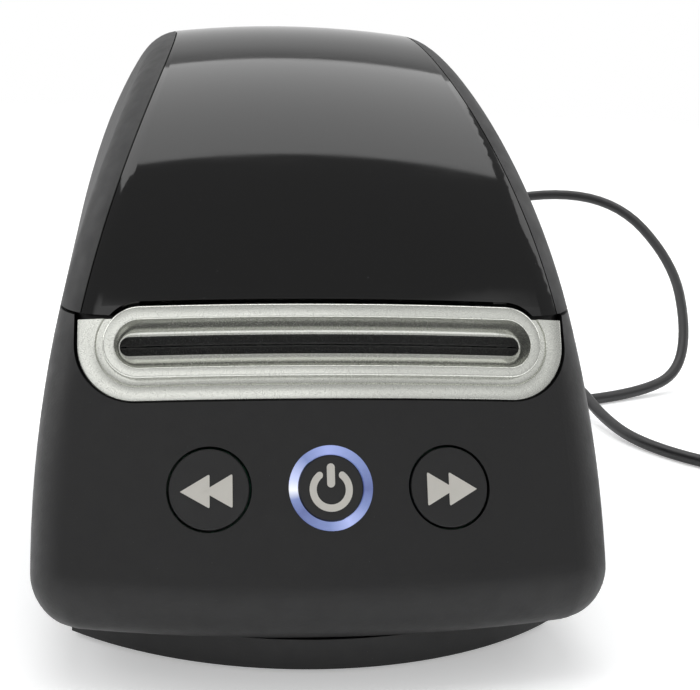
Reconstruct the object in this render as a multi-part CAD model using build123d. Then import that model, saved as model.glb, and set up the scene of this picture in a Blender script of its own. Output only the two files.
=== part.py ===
from build123d import *
import os
from math import asin, atan2, cos, degrees, hypot, pi, radians, sin, sqrt, tan

# A desktop label printer with a lid hinged at the back.
# Millimetres. X is to the right, Y to the back and Z up. The origin is on the table under the middle.

# Overall size
WIDTH = 127.0
DEPTH = 187.0
HEIGHT = 134.0

# Outer form: a leaning face, a round lid, a round rear corner and bowed sides
FACE_LEAN = 25.0
LID_R = 97.0
REAR_R = 28.0
CROWN_R = 250.0
SIDE_R = 225.0
WIDEST_Z = 25.0
BODY_Z = 8.0
EDGE_R = 12.0
WALL = 2.4

# Seam between the lid and the body, and the lid's two layers
SEAM_Z = 73.6
SEAM_GAP = 0.6
PANEL_T = 1.8
LID_T = 3.6
PANEL_INSET = 4.5
PANEL_GAP = 0.25
PANEL_END_Z = 86.0
LID_RIB_T = 1.4
LID_RIB_H = 2.6
LID_RIBS = 4

# Lid hinge at the back edge of the body
KNUCKLE_R = 2.8
KNUCKLE_OUT = 1.3
KNUCKLE_X = 32.0
KNUCKLE_W = 6.0
EAR_W = 6.0
PIN_R = 1.3
RUN_GAP = 0.05
SIDE_GAP = 0.3

# Silver faceplate, measured on the leaning face from the middle of its rim
RIM_HALF = 48.5
RIM_R = 7.9
RIM_PROUD = 0.9
PLATE_HALF = 53.9
PLATE_R = 12.7
PLATE_EAR = 5.6
PLATE_SUNK = 0.5
PLATE_T = 1.7
PLATE_GAP = 0.8
GROOVE_W = 0.9
GROOVE_D = 0.6
SCOOP_HALF = 45.4
SCOOP_R = 5.0
SCOOP_D = 5.2
SLOT_HALF = 43.7
SLOT_H = 3.5
SLOT_DROP = 1.8
SLOT_THROAT = 2.0
SEAT_T = 2.4
SEAT_LAP = 2.6
FUNNEL_WALL = 1.3
FELT_T = 2.0
FELT_SLIT = 0.7
TEAR_T = 0.5
TEAR_HALF = 33.0
TEETH_PITCH = 2.0

# Front buttons
BUTTON_DROP = 32.0
BUTTON_PITCH = 25.7
BUTTON_R = 8.5
BUTTON_GAP = 0.5
POWER_R = 6.95
RING_IN = 7.1
RING_FLANGE = 1.4
CAP_T = 2.6
STEM_R = 2.0
STROKE = 0.8
SWITCH = 6.0
SWITCH_H = 2.0
BOARD_T = 1.6
BOARD_DEEP = 12.0
BUTTON_BOARD = (76.0, 22.0)
BOARD_POST_R = 2.4

# Base tray, its oval plinth and feet
FLOOR_INSET = 14.5
FLOOR_CORNER = 14.0
FLOOR_GAP = 0.3
LIP_H = 1.2
PLINTH_Z = 1.2
PLINTH_HALF = 55.0
PLINTH_FRONT = 85.5
PLINTH_FRONT_R = 82.0
FOOT_R = 6.0
FOOT_SUNK = 1.5
FOOT_X = 40.0
FOOT_FRONT_Y = -52.0
FOOT_REAR_Y = 40.0
BOSS_R = 3.6
SCREW_R = 1.5
SCREW_HEAD_R = 2.8
SCREW_HEAD_H = 1.8
BOSS_X = 41.0
BOSS_FRONT_Y = -64.0
BOSS_REAR_Y = 57.0
BOSS_H = 16.0

# Label roll on its spool
ROLL_Y = 38.0
ROLL_Z = 66.0
ROLL_R = 40.0
ROLL_W = 40.0
ROLL_LEFT = -29.0
CORE_R = 12.8
CORE_T = 1.5
SPINDLE_R = 12.0
SPINDLE_T = 2.0
FLANGE_R = 31.0
FLANGE_T = 2.2
AXLE_R = 3.0
AXLE_GAP = 0.08
GUIDE_HUB = 6.0
GUIDE_WINDOWS = 6
WINDOW_R = 4.5
WINDOW_AT = 21.5

# Tray inside the body that cradles the spool
WELL_R = 46.0
TRAY_T = 1.8
CHEEK_X = 37.0
CHEEK_T = 2.0
CHEEK_FROM = 32.0
SENSOR_S = 20.0
SENSOR_WINDOW = 2.6
DECK_Z = 70.0
DECK_GAP = 0.4
DECK_FRONT = -20.0
DECK_REAR = 86.0
RAMP_DROP = 1.2
RAMP_END = 8.0

# Feed rollers and print head. The nip is where the head meets the platen
NIP_Y = -54.0
NIP_Z = 61.0
WEB_T = 0.2
WEB_GAP = 0.15
SLOT_TO_NIP = 9.0
PLATEN_R = 5.0
PLATEN_HALF = 36.0
SHAFT_R = 2.5
FRAME_X = 40.5
FRAME_T = 2.5
FRAME_FOOT_Z = 15.0
FRAME_FRONT = -50.0
FRAME_REAR = -16.0
BUSH_R = 4.2
BUSH_LIP = 1.0
HEAD_HALF = 33.0
HEAD_L = 10.0
HEAD_T = 1.6
HEAD_S = 2.0
FIN_H = 2.4
FIN_T = 0.9
FINS = 5
CARRIER_T = 2.0
HEAD_PIVOT = (22.0, 6.8)
HEAD_PIN_R = 1.5
HEAD_LIFT = 4.0
BRIDGE_N = 17.5
BRIDGE_T = 2.0
SPRING_X = 26.0
SPRING_S = 4.0
SPRING_W = 8.0
SPRING_T = 0.5
LEVER_PIVOT = (14.0, 3.0)
LEVER_R = 4.0
LEVER_PIN_R = 1.6
LEVER_UP = 13.5
LEVER_T = 3.0
LOBE_L = 2.15
LOBE_T = 1.6

# Gear train on the right-hand side plate
MODULE = 0.6
PLATEN_TEETH = 24
IDLER_TEETH = 44
PINION_TEETH = 14
GEAR_W = 4.0
IDLER_ANGLE = -50.0
PINION_ANGLE = -35.0
MOTOR_R = 12.5
MOTOR_L = 19.0
MOTOR_SHAFT_R = 1.5
MOTOR_BOSS_R = 4.4
IDLER_PIN_R = 2.0
TOOTH_FILL = 0.86

# Main board and rear sockets
BOARD_Z = 13.5
BOARD_HALF = 36.0
BOARD_FRONT = 38.0
BOARD_REAR = 84.0
USB_X = 22.0
USB_W = 12.0
USB_H = 10.8
USB_L = 16.0
JACK_X = -22.0
JACK_W = 9.0
JACK_H = 11.0
JACK_L = 14.0
JACK_BORE = 3.2
SOCKET_WALL = 0.8
PORT_GAP = 0.6

# Cord: a data lead with a square plug at the printer, and its unseen length in a coil
CORD_D = 3.8
CORD_REST = CORD_D / 2 + 0.02
USB_PLUG = 8.0
PLUG_IN = 8.5
CORD_Z = BOARD_Z + BOARD_T + USB_H / 2
COIL_TURNS = 8.0
COIL_PITCH = CORD_D + 0.55
COIL_R = 31.2
CLIMB_DIP = 0.8
COIL_X = 186.0
COIL_Y = -2.0
TAIL_Z = 3.9
TAIL_L = 24.0
CORD_SECTION = pi * CORD_D**2 / 4

HOOP = 400.0


def tilt(lean):
    """Unit vector that points up and back along a face leaning by that many degrees."""
    return Vector(0, sin(radians(lean)), cos(radians(lean)))


# Centre of the lid's arc, and the face's upper tangent point
ARC_Z = HEIGHT - LID_R
TANGENT_Z = ARC_Z + LID_R * sin(radians(FACE_LEAN))
FOOT_ARC_Z = BODY_Z + EDGE_R
ARC_Y = (
    -DEPTH / 2
    + EDGE_R
    - EDGE_R / cos(radians(FACE_LEAN))
    + (TANGENT_Z - FOOT_ARC_Z) * tan(radians(FACE_LEAN))
    + LID_R * cos(radians(FACE_LEAN))
)
REAR_Y = DEPTH / 2 - KNUCKLE_OUT
BOOT_END = REAR_Y + 38
HINGE_Y = DEPTH / 2 - KNUCKLE_R
HINGE_Z = SEAM_Z + 1.0
REAR_LEAN = degrees(asin((REAR_Y - REAR_R - ARC_Y) / (LID_R - REAR_R)))
TANGENT_Y = ARC_Y - LID_R * cos(radians(FACE_LEAN))
UP_FACE = tilt(FACE_LEAN)
OUT_FACE = Vector(0, -cos(radians(FACE_LEAN)), sin(radians(FACE_LEAN)))
FACE = Plane(
    origin=Vector(0, TANGENT_Y, TANGENT_Z) - UP_FACE * RIM_R,
    x_dir=(1, 0, 0),
    z_dir=OUT_FACE,
)

# The web runs straight from the bottom of the roll to the nip
REACH = hypot(ROLL_Y - NIP_Y, ROLL_Z - NIP_Z)
FEED_ANGLE = degrees(asin(ROLL_R / REACH) - atan2(ROLL_Z - NIP_Z, ROLL_Y - NIP_Y))
FEED = Plane(origin=(0, NIP_Y, NIP_Z), x_dir=(1, 0, 0), z_dir=tilt(FEED_ANGLE))
WEB_L = sqrt(REACH**2 - ROLL_R**2)
NIP_GAP = WEB_T / 2 + WEB_GAP
HEAD_GAP = NIP_GAP


def feed_point(s, n):
    """Point of the feed frame: s along the web towards the roll, n above it."""
    return FEED.from_local_coords(Vector(0, s, n))


PLATEN = feed_point(0, -(PLATEN_R + NIP_GAP))
PIVOT = feed_point(*HEAD_PIVOT)
LEVER = feed_point(*LEVER_PIVOT)


def geared(centre, teeth_a, teeth_b, angle):
    """Centre of the gear that meshes with another, seen at that angle in the YZ plane."""
    reach = MODULE * (teeth_a + teeth_b) / 2
    return centre + Vector(0, cos(radians(angle)), sin(radians(angle))) * reach


IDLER = geared(PLATEN, PLATEN_TEETH, IDLER_TEETH, IDLER_ANGLE)
MOTOR = geared(IDLER, IDLER_TEETH, PINION_TEETH, PINION_ANGLE)
GEAR_X = FRAME_X + FRAME_T + BUSH_LIP + 0.5


def along_x(radius, x0, x1, y, z):
    """Cylinder along X between two planes."""
    mid = Pos((x0 + x1) / 2, y, z)
    return mid * Cylinder(radius, x1 - x0, rotation=(0, 90, 0))


def along_z(radius, z0, z1, x, y):
    """Upright cylinder between two heights."""
    return Pos(x, y, (z0 + z1) / 2) * Cylinder(radius, z1 - z0)


def block(x0, x1, y0, y1, z0, z1):
    """Box between two corners."""
    mid = Pos((x0 + x1) / 2, (y0 + y1) / 2, (z0 + z1) / 2)
    return mid * Box(x1 - x0, y1 - y0, z1 - z0)


def on_plane(plane, shape, x=0.0, y=0.0, z=0.0):
    """Shape placed in a plane's own frame."""
    return plane * Pos(x, y, z) * shape


def drum(plane, radius, z0, z1, x=0.0, y=0.0):
    """Cylinder along a plane's normal between two heights above it."""
    return on_plane(plane, Cylinder(radius, z1 - z0), x, y, (z0 + z1) / 2)


def crowned(tip, wall):
    """Upright section from a level base to a crowned top at that height, wall further in."""
    radius = CROWN_R - wall
    top = tip - wall
    side = WIDTH * 0.6
    edge = top - radius + sqrt(radius**2 - side**2)
    outline = Polyline((-side, edge), (-side, 0), (side, 0), (side, edge))
    crown = ThreePointArc((side, edge), (0, top), (-side, edge))
    return Plane.XZ * make_face(outline + crown)


def form(wall):
    """The printer's whole outer form, taken in by a wall on every side."""
    lid_axis = Axis((0, ARC_Y, ARC_Z), (1, 0, 0))
    face_tilt = 90 - FACE_LEAN
    front = Pos(0, ARC_Y, ARC_Z) * Rot(face_tilt, 0, 0) * crowned(LID_R, wall)
    down = UP_FACE * -HEIGHT
    lid = revolve(front, lid_axis, -(face_tilt + REAR_LEAN))
    face = extrude(front, amount=HEIGHT, dir=UP_FACE * -1)
    rear_y = ARC_Y + (LID_R - REAR_R) * sin(radians(REAR_LEAN))
    rear_z = ARC_Z + (LID_R - REAR_R) * cos(radians(REAR_LEAN))
    corner_axis = Axis((0, rear_y, rear_z), (1, 0, 0))
    corner = Pos(0, rear_y, rear_z) * Rot(-REAR_LEAN, 0, 0) * crowned(REAR_R, wall)
    upright = Pos(0, rear_y, rear_z) * Rot(-90, 0, 0) * crowned(REAR_R, wall)
    back = extrude(upright, amount=HEIGHT, dir=(0, 0, -1))
    low = Vector(0, ARC_Y, ARC_Z) + down
    core = make_face(
        Polyline((ARC_Y, ARC_Z), (low.Y, low.Z), (rear_y, low.Z), (rear_y, rear_z), close=True)
    )
    core = extrude(Plane.YZ * core, amount=WIDTH * 0.6, both=True)
    body = lid + face + revolve(corner, corner_axis, -(90 - REAR_LEAN)) + back + core
    body = body & sides(wall) & block(-WIDTH, WIDTH, -HOOP, HOOP, BODY_Z + wall, HOOP)
    rounded = [e for e in body.edges() if e.geom_type == GeomType.BSPLINE]
    low_z = BODY_Z + wall + 0.01
    rounded += [e for e in body.edges() if e.bounding_box().max.Z < low_z]
    return fillet(rounded, EDGE_R - wall)


def sides(inset):
    """Space between the two bowed side surfaces, taken in by an inset."""
    bow = Cylinder(SIDE_R - inset, HOOP, rotation=(90, 0, 0))
    reach = WIDTH / 2 - SIDE_R
    return (Pos(reach, 0, WIDEST_Z) * bow) & (Pos(-reach, 0, WIDEST_Z) * bow)


def rim_outline(grow):
    """Round-ended outline of the faceplate's raised rim, grown by a margin."""
    return SlotOverall(2 * (RIM_HALF + grow), 2 * (RIM_R + grow))


def plate_outline(grow):
    """U-shaped outline of the whole faceplate below the lid's edge, grown by a margin."""
    half = PLATE_HALF + grow
    radius = PLATE_R + grow
    bend = radius * sin(radians(45))
    left = ThreePointArc((-half, 0), (-half + radius - bend, -bend), (-half + radius, -radius))
    right = ThreePointArc((half - radius, -radius), (half - radius + bend, -bend), (half, 0))
    rim = Line((-half + radius, -radius), (half - radius, -radius))
    ear = PLATE_EAR + 3 * grow
    top = Polyline((half, 0), (half, ear), (-half, ear), (-half, 0))
    return make_face(left + rim + right + top)


def face_prism(outline, deep=30.0, out=10.0):
    """Prism of a face outline that runs through the front wall."""
    return extrude(FACE * Pos(0, 0, -deep) * outline, amount=deep + out)


def button_points():
    """Middle of each button on the face, left to right."""
    return [(x, -BUTTON_DROP) for x in (-BUTTON_PITCH, 0, BUTTON_PITCH)]


# The form at each depth is used by several pieces, so it is made once
OUTER = form(0)
INNER = form(WALL)
PANEL_UNDER = form(PANEL_T)
LID_UNDER = form(LID_T)
SUNK = form(PLATE_SUNK)
SEAT_TOP = form(PLATE_SUNK + PLATE_T)
SEAT_UNDER = form(PLATE_SUNK + PLATE_T + SEAT_T)
PROUD = form(-RIM_PROUD)
CAP_TOP = form(0.1)
CAP_UNDER = form(0.1 + CAP_T)


def floor_outline(gap):
    """Rounded opening in the body's underside that the base tray closes."""
    half = WIDTH / 2 - FLOOR_INSET - gap
    front = -DEPTH / 2 + FLOOR_INSET + gap
    rear = REAR_Y - FLOOR_INSET - gap
    return Pos(0, (front + rear) / 2) * RectangleRounded(2 * half, rear - front, FLOOR_CORNER)


def boss_points():
    """Where the base tray is screwed to the body."""
    return [(x, y) for x in (-BOSS_X, BOSS_X) for y in (BOSS_FRONT_Y, BOSS_REAR_Y)]


def ear_spans():
    """Start and end along X of the body's two hinge ears, inboard of the lid's knuckles."""
    start = KNUCKLE_X - SIDE_GAP - EAR_W
    return [(start, start + EAR_W), (-start - EAR_W, -start)]


def knuckle_spans():
    """Start and end along X of the lid's two hinge knuckles."""
    return [(KNUCKLE_X, KNUCKLE_X + KNUCKLE_W), (-KNUCKLE_X - KNUCKLE_W, -KNUCKLE_X)]


def port_cut(x, width, height):
    """Opening in the back wall for a socket that stands on the main board."""
    z0 = BOARD_Z + BOARD_T
    return block(
        x - width / 2 - PORT_GAP, x + width / 2 + PORT_GAP,
        REAR_Y - 3 * WALL - 4, REAR_Y + 5, z0 - PORT_GAP, z0 + height + PORT_GAP,
    )


def body_shell():
    """Lower housing: front, sides and back in one moulding."""
    shell = (OUTER - INNER) & block(-WIDTH, WIDTH, -DEPTH, DEPTH, 0, SEAM_Z)
    seat = face_prism(plate_outline(SEAT_LAP)) & (SUNK - SEAT_UNDER)
    seat = seat & block(-WIDTH, WIDTH, -DEPTH, DEPTH, 0, SEAM_Z)
    shell += seat
    shell -= face_prism(plate_outline(PLATE_GAP)) - SEAT_TOP
    shell -= face_prism(rim_outline(PLATE_GAP)) - SEAT_TOP
    mouth = SlotOverall(2 * (SCOOP_HALF + FUNNEL_WALL + 0.3), 2 * (SCOOP_R + FUNNEL_WALL + 0.3))
    shell -= face_prism(mouth)
    for x, y in button_points():
        shell -= drum(FACE, BUTTON_R + BUTTON_GAP, -8, 8, x, y)
    opening = extrude(Pos(0, 0, BODY_Z - 1) * floor_outline(0), amount=WALL + 1.5)
    shell -= opening
    for x, y in boss_points():
        post = along_z(BOSS_R, BODY_Z + WALL + FLOOR_GAP, BOSS_H, x, y)
        shell += post + boss_web(x, y)
        shell -= along_z(SCREW_R - 0.15, BODY_Z, BOSS_H - 2, x, y)
    shell -= port_cut(USB_X, USB_W, USB_H) + port_cut(JACK_X, JACK_W, JACK_H)
    shell -= block(-WIDTH, WIDTH, HINGE_Y - 2.2, DEPTH, SEAM_Z - 1.0, SEAM_Z + 1)
    for x0, x1 in knuckle_spans():
        low = HINGE_Z - KNUCKLE_R - SIDE_GAP
        shell -= block(x0 - SIDE_GAP, x1 + SIDE_GAP, REAR_Y - 4 * WALL, DEPTH, low, SEAM_Z + 1)
    for x0, x1 in ear_spans():
        shell += hinge_ear(x0, x1)
    for x, y in board_posts():
        post = drum(FACE, BOARD_POST_R, -(BOARD_DEEP - BOARD_T), 1, x, y) & SUNK
        shell += post - drum(FACE, 0.9, -BOARD_DEEP, -WALL - 1, x, y)
    return shell + deck_ledge(-1) + deck_ledge(1)


def boss_web(x, y):
    """Rib that ties a screw boss to the nearest side wall."""
    outward = 1 if x > 0 else -1
    x0 = x + outward * (BOSS_R - 0.5)
    x1 = outward * (WIDTH / 2 - WALL / 2)
    z0 = BODY_Z + WALL + LIP_H + FLOOR_GAP
    rib = block(min(x0, x1), max(x0, x1), y - 0.8, y + 0.8, z0, BOSS_H)
    return rib & SUNK


def deck_ledge(side):
    """Inward lip along one side wall that carries the tray's deck."""
    lip = block(0, WIDTH, DECK_FRONT, REAR_Y - EDGE_R, DECK_Z - 2.4, DECK_Z)
    if side < 0:
        lip = mirror(lip, Plane.YZ)
    return (lip & SUNK) - sides(WALL + 3.0)


def hinge_ear(x0, x1):
    """Body-side hinge ear: a lug that rises from the back wall and is bored for the pin."""
    lug = along_x(KNUCKLE_R, x0, x1, HINGE_Y, HINGE_Z)
    foot = block(x0, x1, REAR_Y - WALL - 2.2, HINGE_Y + 1.2, SEAM_Z - 9, HINGE_Z - 0.5)
    return lug + foot - along_x(PIN_R + RUN_GAP, x0, x1, HINGE_Y, HINGE_Z)


def board_posts():
    """Screw posts behind the face for the button board."""
    half = BUTTON_BOARD[0] / 2 - 3
    return [(x, -BUTTON_DROP + dy) for x, dy in ((-half, 8.0), (half, 8.0), (-13.2, -8.6), (13.2, -8.6))]


def faceplate():
    """Silver faceplate: sunk lower band, raised round-ended rim and scooped label slot."""
    band = face_prism(plate_outline(0)) & (SUNK - SEAT_TOP)
    rim = face_prism(rim_outline(0)) & (PROUD - SEAT_TOP)
    rim = fillet(rim.faces().filter_by(lambda f: rim_face(f)).edges(), 0.6)
    groove = face_prism(rim_outline(GROOVE_W)) - face_prism(rim_outline(0))
    band -= groove - form(PLATE_SUNK + GROOVE_D)
    funnel = SlotOverall(2 * (SCOOP_HALF + FUNNEL_WALL), 2 * (SCOOP_R + FUNNEL_WALL))
    funnel = face_prism(funnel, deep=SCOOP_D + SLOT_THROAT) & SUNK
    plate = band + rim + funnel
    return plate - scoop()


def rim_face(face):
    """True for the rim's crowned front face."""
    middle = face.center()
    return FACE.to_local_coords(middle).Z > 0 and face.area > 1000


def scoop():
    """Label scoop: a wide round-ended mouth that narrows to the slot below its middle."""
    mouth = FACE * Pos(0, 0, RIM_PROUD + 1.0) * SlotOverall(2 * SCOOP_HALF + 1.0, 2 * SCOOP_R + 1.0)
    waist = FACE * Pos(0, -0.3, -1.0) * SlotOverall(2 * SCOOP_HALF, 2 * SCOOP_R)
    slot = FACE * Pos(0, -SLOT_DROP, -SCOOP_D) * SlotOverall(2 * SLOT_HALF, SLOT_H)
    funnel = loft([mouth.faces()[0], waist.faces()[0], slot.faces()[0]], ruled=True)
    through = extrude(FACE * Pos(0, -SLOT_DROP, -SCOOP_D) * SlotOverall(2 * SLOT_HALF, SLOT_H), amount=-6)
    return funnel + through


def slot_felt():
    """Two dark felt strips behind the slot, with a slit for the label between them."""
    front = -SCOOP_D - SLOT_THROAT - 0.05
    strip = Rectangle(2 * SLOT_HALF - 1, SLOT_H + 2.4)
    felt = extrude(FACE * Pos(0, -SLOT_DROP, front) * strip, amount=-FELT_T - TEAR_T)
    felt -= FACE * Pos(0, -SLOT_DROP, -SCOOP_D) * Box(2 * SLOT_HALF + 2, FELT_SLIT, 20)
    tooth_top = -SLOT_DROP - SLOT_H / 2
    step = Box(2 * SLOT_HALF + 2, 6, 2 * (TEAR_T + 0.05))
    return felt - on_plane(FACE, step, 0, tooth_top - 2.95, front)


def tear_bar():
    """Steel tear bar with a row of teeth along the lower lip of the slot."""
    count = int(2 * TEAR_HALF / TEETH_PITCH)
    low = SLOT_DROP + SLOT_H / 2 + 0.1
    points = [(-TEAR_HALF, -low - 3.0)]
    for i in range(count):
        x = -TEAR_HALF + i * TEETH_PITCH
        points += [(x, -low - 0.7), (x + TEETH_PITCH / 2, -low + 0.1)]
    points += [(-TEAR_HALF + count * TEETH_PITCH, -low - 0.7), (TEAR_HALF, -low - 3.0)]
    blade = make_face(Polyline(*points, close=True))
    deep = -SCOOP_D - SLOT_THROAT - 0.05
    return extrude(FACE * Pos(0, 0, deep) * blade, amount=-TEAR_T)


def button_cap(x, y, radius):
    """Round push button with a stem that reaches for its switch."""
    cap = drum(FACE, radius, -10, 6, x, y) & (CAP_TOP - CAP_UNDER)
    front = cap.faces().sort_by(lambda f: FACE.to_local_coords(f.center()).Z)[-1]
    cap = fillet(front.edges(), 0.35)
    stem_end = -(BOARD_DEEP - BOARD_T - SWITCH_H - 1.0 - STROKE - 0.1)
    return cap + drum(FACE, STEM_R, stem_end, -CAP_T, x, y)


def power_ring():
    """Clear ring round the power button that carries the light to the front."""
    outer = BUTTON_R + BUTTON_GAP - 0.1
    y = -BUTTON_DROP
    tube = drum(FACE, outer, -WALL - 0.1, 6, 0, y) & form(-0.15)
    flange = drum(FACE, outer + 1.6, -WALL - RING_FLANGE - 0.4, -WALL - 0.4, 0, y)
    guide = drum(FACE, outer - 0.9, -BOARD_DEEP + BOARD_T + 3.2, -WALL, 0, y)
    ring = tube + flange + guide
    return ring - drum(FACE, RING_IN, -20, 10, 0, y)


def button_board():
    """Circuit board behind the three buttons."""
    slab = Box(BUTTON_BOARD[0], BUTTON_BOARD[1], BOARD_T)
    board = on_plane(FACE, slab, 0, -BUTTON_DROP, -BOARD_DEEP + BOARD_T / 2)
    for x, y in board_posts():
        board -= drum(FACE, 1.2, -20, 0, x, y)
    return board


def button_switches():
    """Three tactile switches, one under each button."""
    bodies = []
    top = -BOARD_DEEP + BOARD_T
    for x, y in button_points():
        can = on_plane(FACE, Box(SWITCH, SWITCH, SWITCH_H), x, y, top + SWITCH_H / 2)
        bodies.append(can + drum(FACE, 1.6, top + SWITCH_H - 0.01, top + SWITCH_H + 1.0, x, y))
    return Compound(bodies)


def board_screws():
    """Screws that hold the button board to its posts."""
    screws = []
    for x, y in board_posts():
        head = drum(FACE, 1.9, -BOARD_DEEP - 1.3, -BOARD_DEEP, x, y)
        head -= on_plane(FACE, Box(2.6, 0.6, 1.2), x, y, -BOARD_DEEP - 1.3)
        screws.append(head + drum(FACE, 0.9, -BOARD_DEEP, -BOARD_DEEP + 4.5, x, y))
    return Compound(screws)


def plinth_outline():
    """Plinth outline: round front and back, straight sides."""
    front = Pos(0, -PLINTH_FRONT + PLINTH_FRONT_R) * Circle(PLINTH_FRONT_R)
    rear = Pos(0, PLINTH_FRONT - PLINTH_FRONT_R - 8) * Circle(PLINTH_FRONT_R)
    return (front & rear) & Rectangle(2 * PLINTH_HALF, 2 * DEPTH)


def base_tray():
    """Base tray: floor with a lipped edge, and the oval plinth that the printer stands on."""
    floor = extrude(Pos(0, 0, BODY_Z) * floor_outline(FLOOR_GAP), amount=WALL)
    rim = floor_outline(FLOOR_GAP) - floor_outline(FLOOR_GAP + 1.9)
    lip = extrude(Pos(0, 0, BODY_Z + WALL) * rim, amount=LIP_H)
    plinth = extrude(Pos(0, 0, PLINTH_Z) * plinth_outline(), amount=BODY_Z - PLINTH_Z)
    recess = extrude(Pos(0, 0, PLINTH_Z) * offset(plinth_outline(), -4.0), amount=2.4)
    tray = floor + lip + (plinth - recess)
    for x, y in boss_points():
        tray -= along_z(SCREW_R + 0.3, 0, BODY_Z + 10, x, y)
        tray -= along_z(SCREW_HEAD_R + 0.3, 0, BODY_Z - 0.6, x, y)
    for x, y in foot_points():
        tray += along_z(FOOT_R + 1.6, PLINTH_Z, BODY_Z, x, y)
        tray -= along_z(FOOT_R + 0.1, 0, PLINTH_Z + FOOT_SUNK, x, y)
    for x, y in frame_feet():
        tray += along_z(3.4, BODY_Z + 1, FRAME_FOOT_Z, x, y)
    for x, y in main_board_posts():
        tray += along_z(2.6, BODY_Z + 1, BOARD_Z, x, y)
        tray -= along_z(1.2, BOARD_Z - 3.2, BOARD_Z, x, y)
    return tray


def foot_points():
    """Middle of each rubber foot."""
    return [(x, y) for x in (-FOOT_X, FOOT_X) for y in (FOOT_FRONT_Y, FOOT_REAR_Y)]


def rubber_feet():
    """Four round rubber feet, pressed into the plinth."""
    feet = []
    for x, y in foot_points():
        pad = along_z(FOOT_R, 0, PLINTH_Z + FOOT_SUNK, x, y)
        low = pad.edges().group_by(Axis.Z)[0]
        feet.append(fillet(low, 0.5))
    return Compound(feet)


def base_screws():
    """Screws that hold the base tray to the body's bosses."""
    screws = []
    for x, y in boss_points():
        top = BODY_Z - 0.6
        head = along_z(SCREW_HEAD_R, top - SCREW_HEAD_H, top, x, y)
        head -= Pos(x, y, top - SCREW_HEAD_H) * Box(0.9, 3.6, 1.6)
        head -= Pos(x, y, top - SCREW_HEAD_H) * Box(3.6, 0.9, 1.6)
        screws.append(head + along_z(SCREW_R - 0.15, top - 0.01, BOSS_H - 3, x, y))
    return Compound(screws)


def lid_space(gap):
    """Space that the lid takes: above the seam and clear of the faceplate's rim."""
    space = block(-WIDTH, WIDTH, -DEPTH, DEPTH, SEAM_Z + gap, HOOP)
    return space - face_prism(rim_outline(PLATE_GAP))


def lid_frame():
    """Inner lid shell with the two outer side strips, ribs and hinge knuckles."""
    under = PANEL_UNDER - LID_UNDER
    strips = (OUTER - PANEL_UNDER) - sides(PANEL_INSET)
    tail = (OUTER - PANEL_UNDER) & block(-WIDTH, WIDTH, ARC_Y + 20, DEPTH, 0, PANEL_END_Z)
    frame = (under + strips + tail) & lid_space(SEAM_GAP)
    for i in range(LID_RIBS):
        frame += lid_rib(-52.0 + i * 100.0 / (LID_RIBS - 1))
    for x0, x1 in knuckle_spans():
        frame += lid_knuckle(x0, x1)
        frame -= along_x(PIN_R, x0 - SIDE_GAP, x1, HINGE_Y, HINGE_Z)
    relief = KNUCKLE_R + 0.5
    for x0, x1 in ear_spans():
        frame -= along_x(relief, x0 - SIDE_GAP, x1 + SIDE_GAP, HINGE_Y, HINGE_Z)
    return frame


def lid_rib(lean):
    """Stiffening rib across the underside of the lid, square to its arc."""
    radius = LID_R - LID_T
    slab = Pos(0, ARC_Y, ARC_Z) * Rot(-lean, 0, 0) * Pos(0, 0, radius) * Box(90, LID_RIB_T, 30)
    ring = form(LID_T - 0.3) - form(LID_T + LID_RIB_H)
    return slab & ring & sides(LID_T + 6) & lid_space(SEAM_GAP + 14)


def lid_knuckle(x0, x1):
    """Lid-side hinge knuckle below the back edge of the lid."""
    barrel = along_x(KNUCKLE_R, x0, x1, HINGE_Y, HINGE_Z)
    web = block(x0, x1, HINGE_Y - KNUCKLE_R, HINGE_Y + 1.0, HINGE_Z, HINGE_Z + 9)
    return barrel + (web & SUNK) - along_x(PIN_R, x0, x1, HINGE_Y, HINGE_Z)


def lid_panel():
    """Glossy top panel, let in flush between the side strips."""
    panel = (OUTER - PANEL_UNDER) & sides(PANEL_INSET + PANEL_GAP) & lid_space(SEAM_GAP)
    return panel - block(-WIDTH, WIDTH, ARC_Y + 20, DEPTH, 0, PANEL_END_Z + PANEL_GAP)


def hinge_pins():
    """Two steel hinge pins, pressed into the lid's knuckles."""
    pins = []
    for (a0, a1), (b0, b1) in zip(ear_spans(), knuckle_spans()):
        x0, x1 = min(a0, b0), max(a1, b1)
        pins.append(along_x(PIN_R, x0 + 0.2, x1 - 0.2, HINGE_Y, HINGE_Z))
    return Compound(pins)


def frame_feet():
    """Where the side plates of the feed mechanism stand."""
    x = FRAME_X + FRAME_T / 2
    return [(s * x, y) for s in (-1, 1) for y in (-47.0, -22.0)]


def main_board_posts():
    """Posts of the base tray that carry the main board."""
    return [(x, y) for x in (-BOARD_HALF + 6, BOARD_HALF - 6) for y in (BOARD_FRONT + 4, BOARD_REAR - 24)]


def flat(point):
    """Y and Z of a point, for an outline drawn from the side."""
    return (point.Y, point.Z)


def well_section(grow, start):
    """Side outline of the roll's well and the ramp in front of it, grown by a margin."""
    circle = Pos(ROLL_Y, ROLL_Z) * Circle(WELL_R - TRAY_T + grow)
    front = flat(feed_point(start, -RAMP_DROP - grow))
    rear = flat(feed_point(WEB_L, -RAMP_DROP - grow))
    wedge = Polyline(
        front, rear, (ROLL_Y, ROLL_Z), (ROLL_Y, HEIGHT), (front[0], HEIGHT), close=True,
    )
    return circle + make_face(wedge)


def slab_x(section, x0, x1):
    """Side outline extruded between two planes across X."""
    return extrude(Plane.YZ.offset(x0) * section, amount=x1 - x0)


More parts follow.
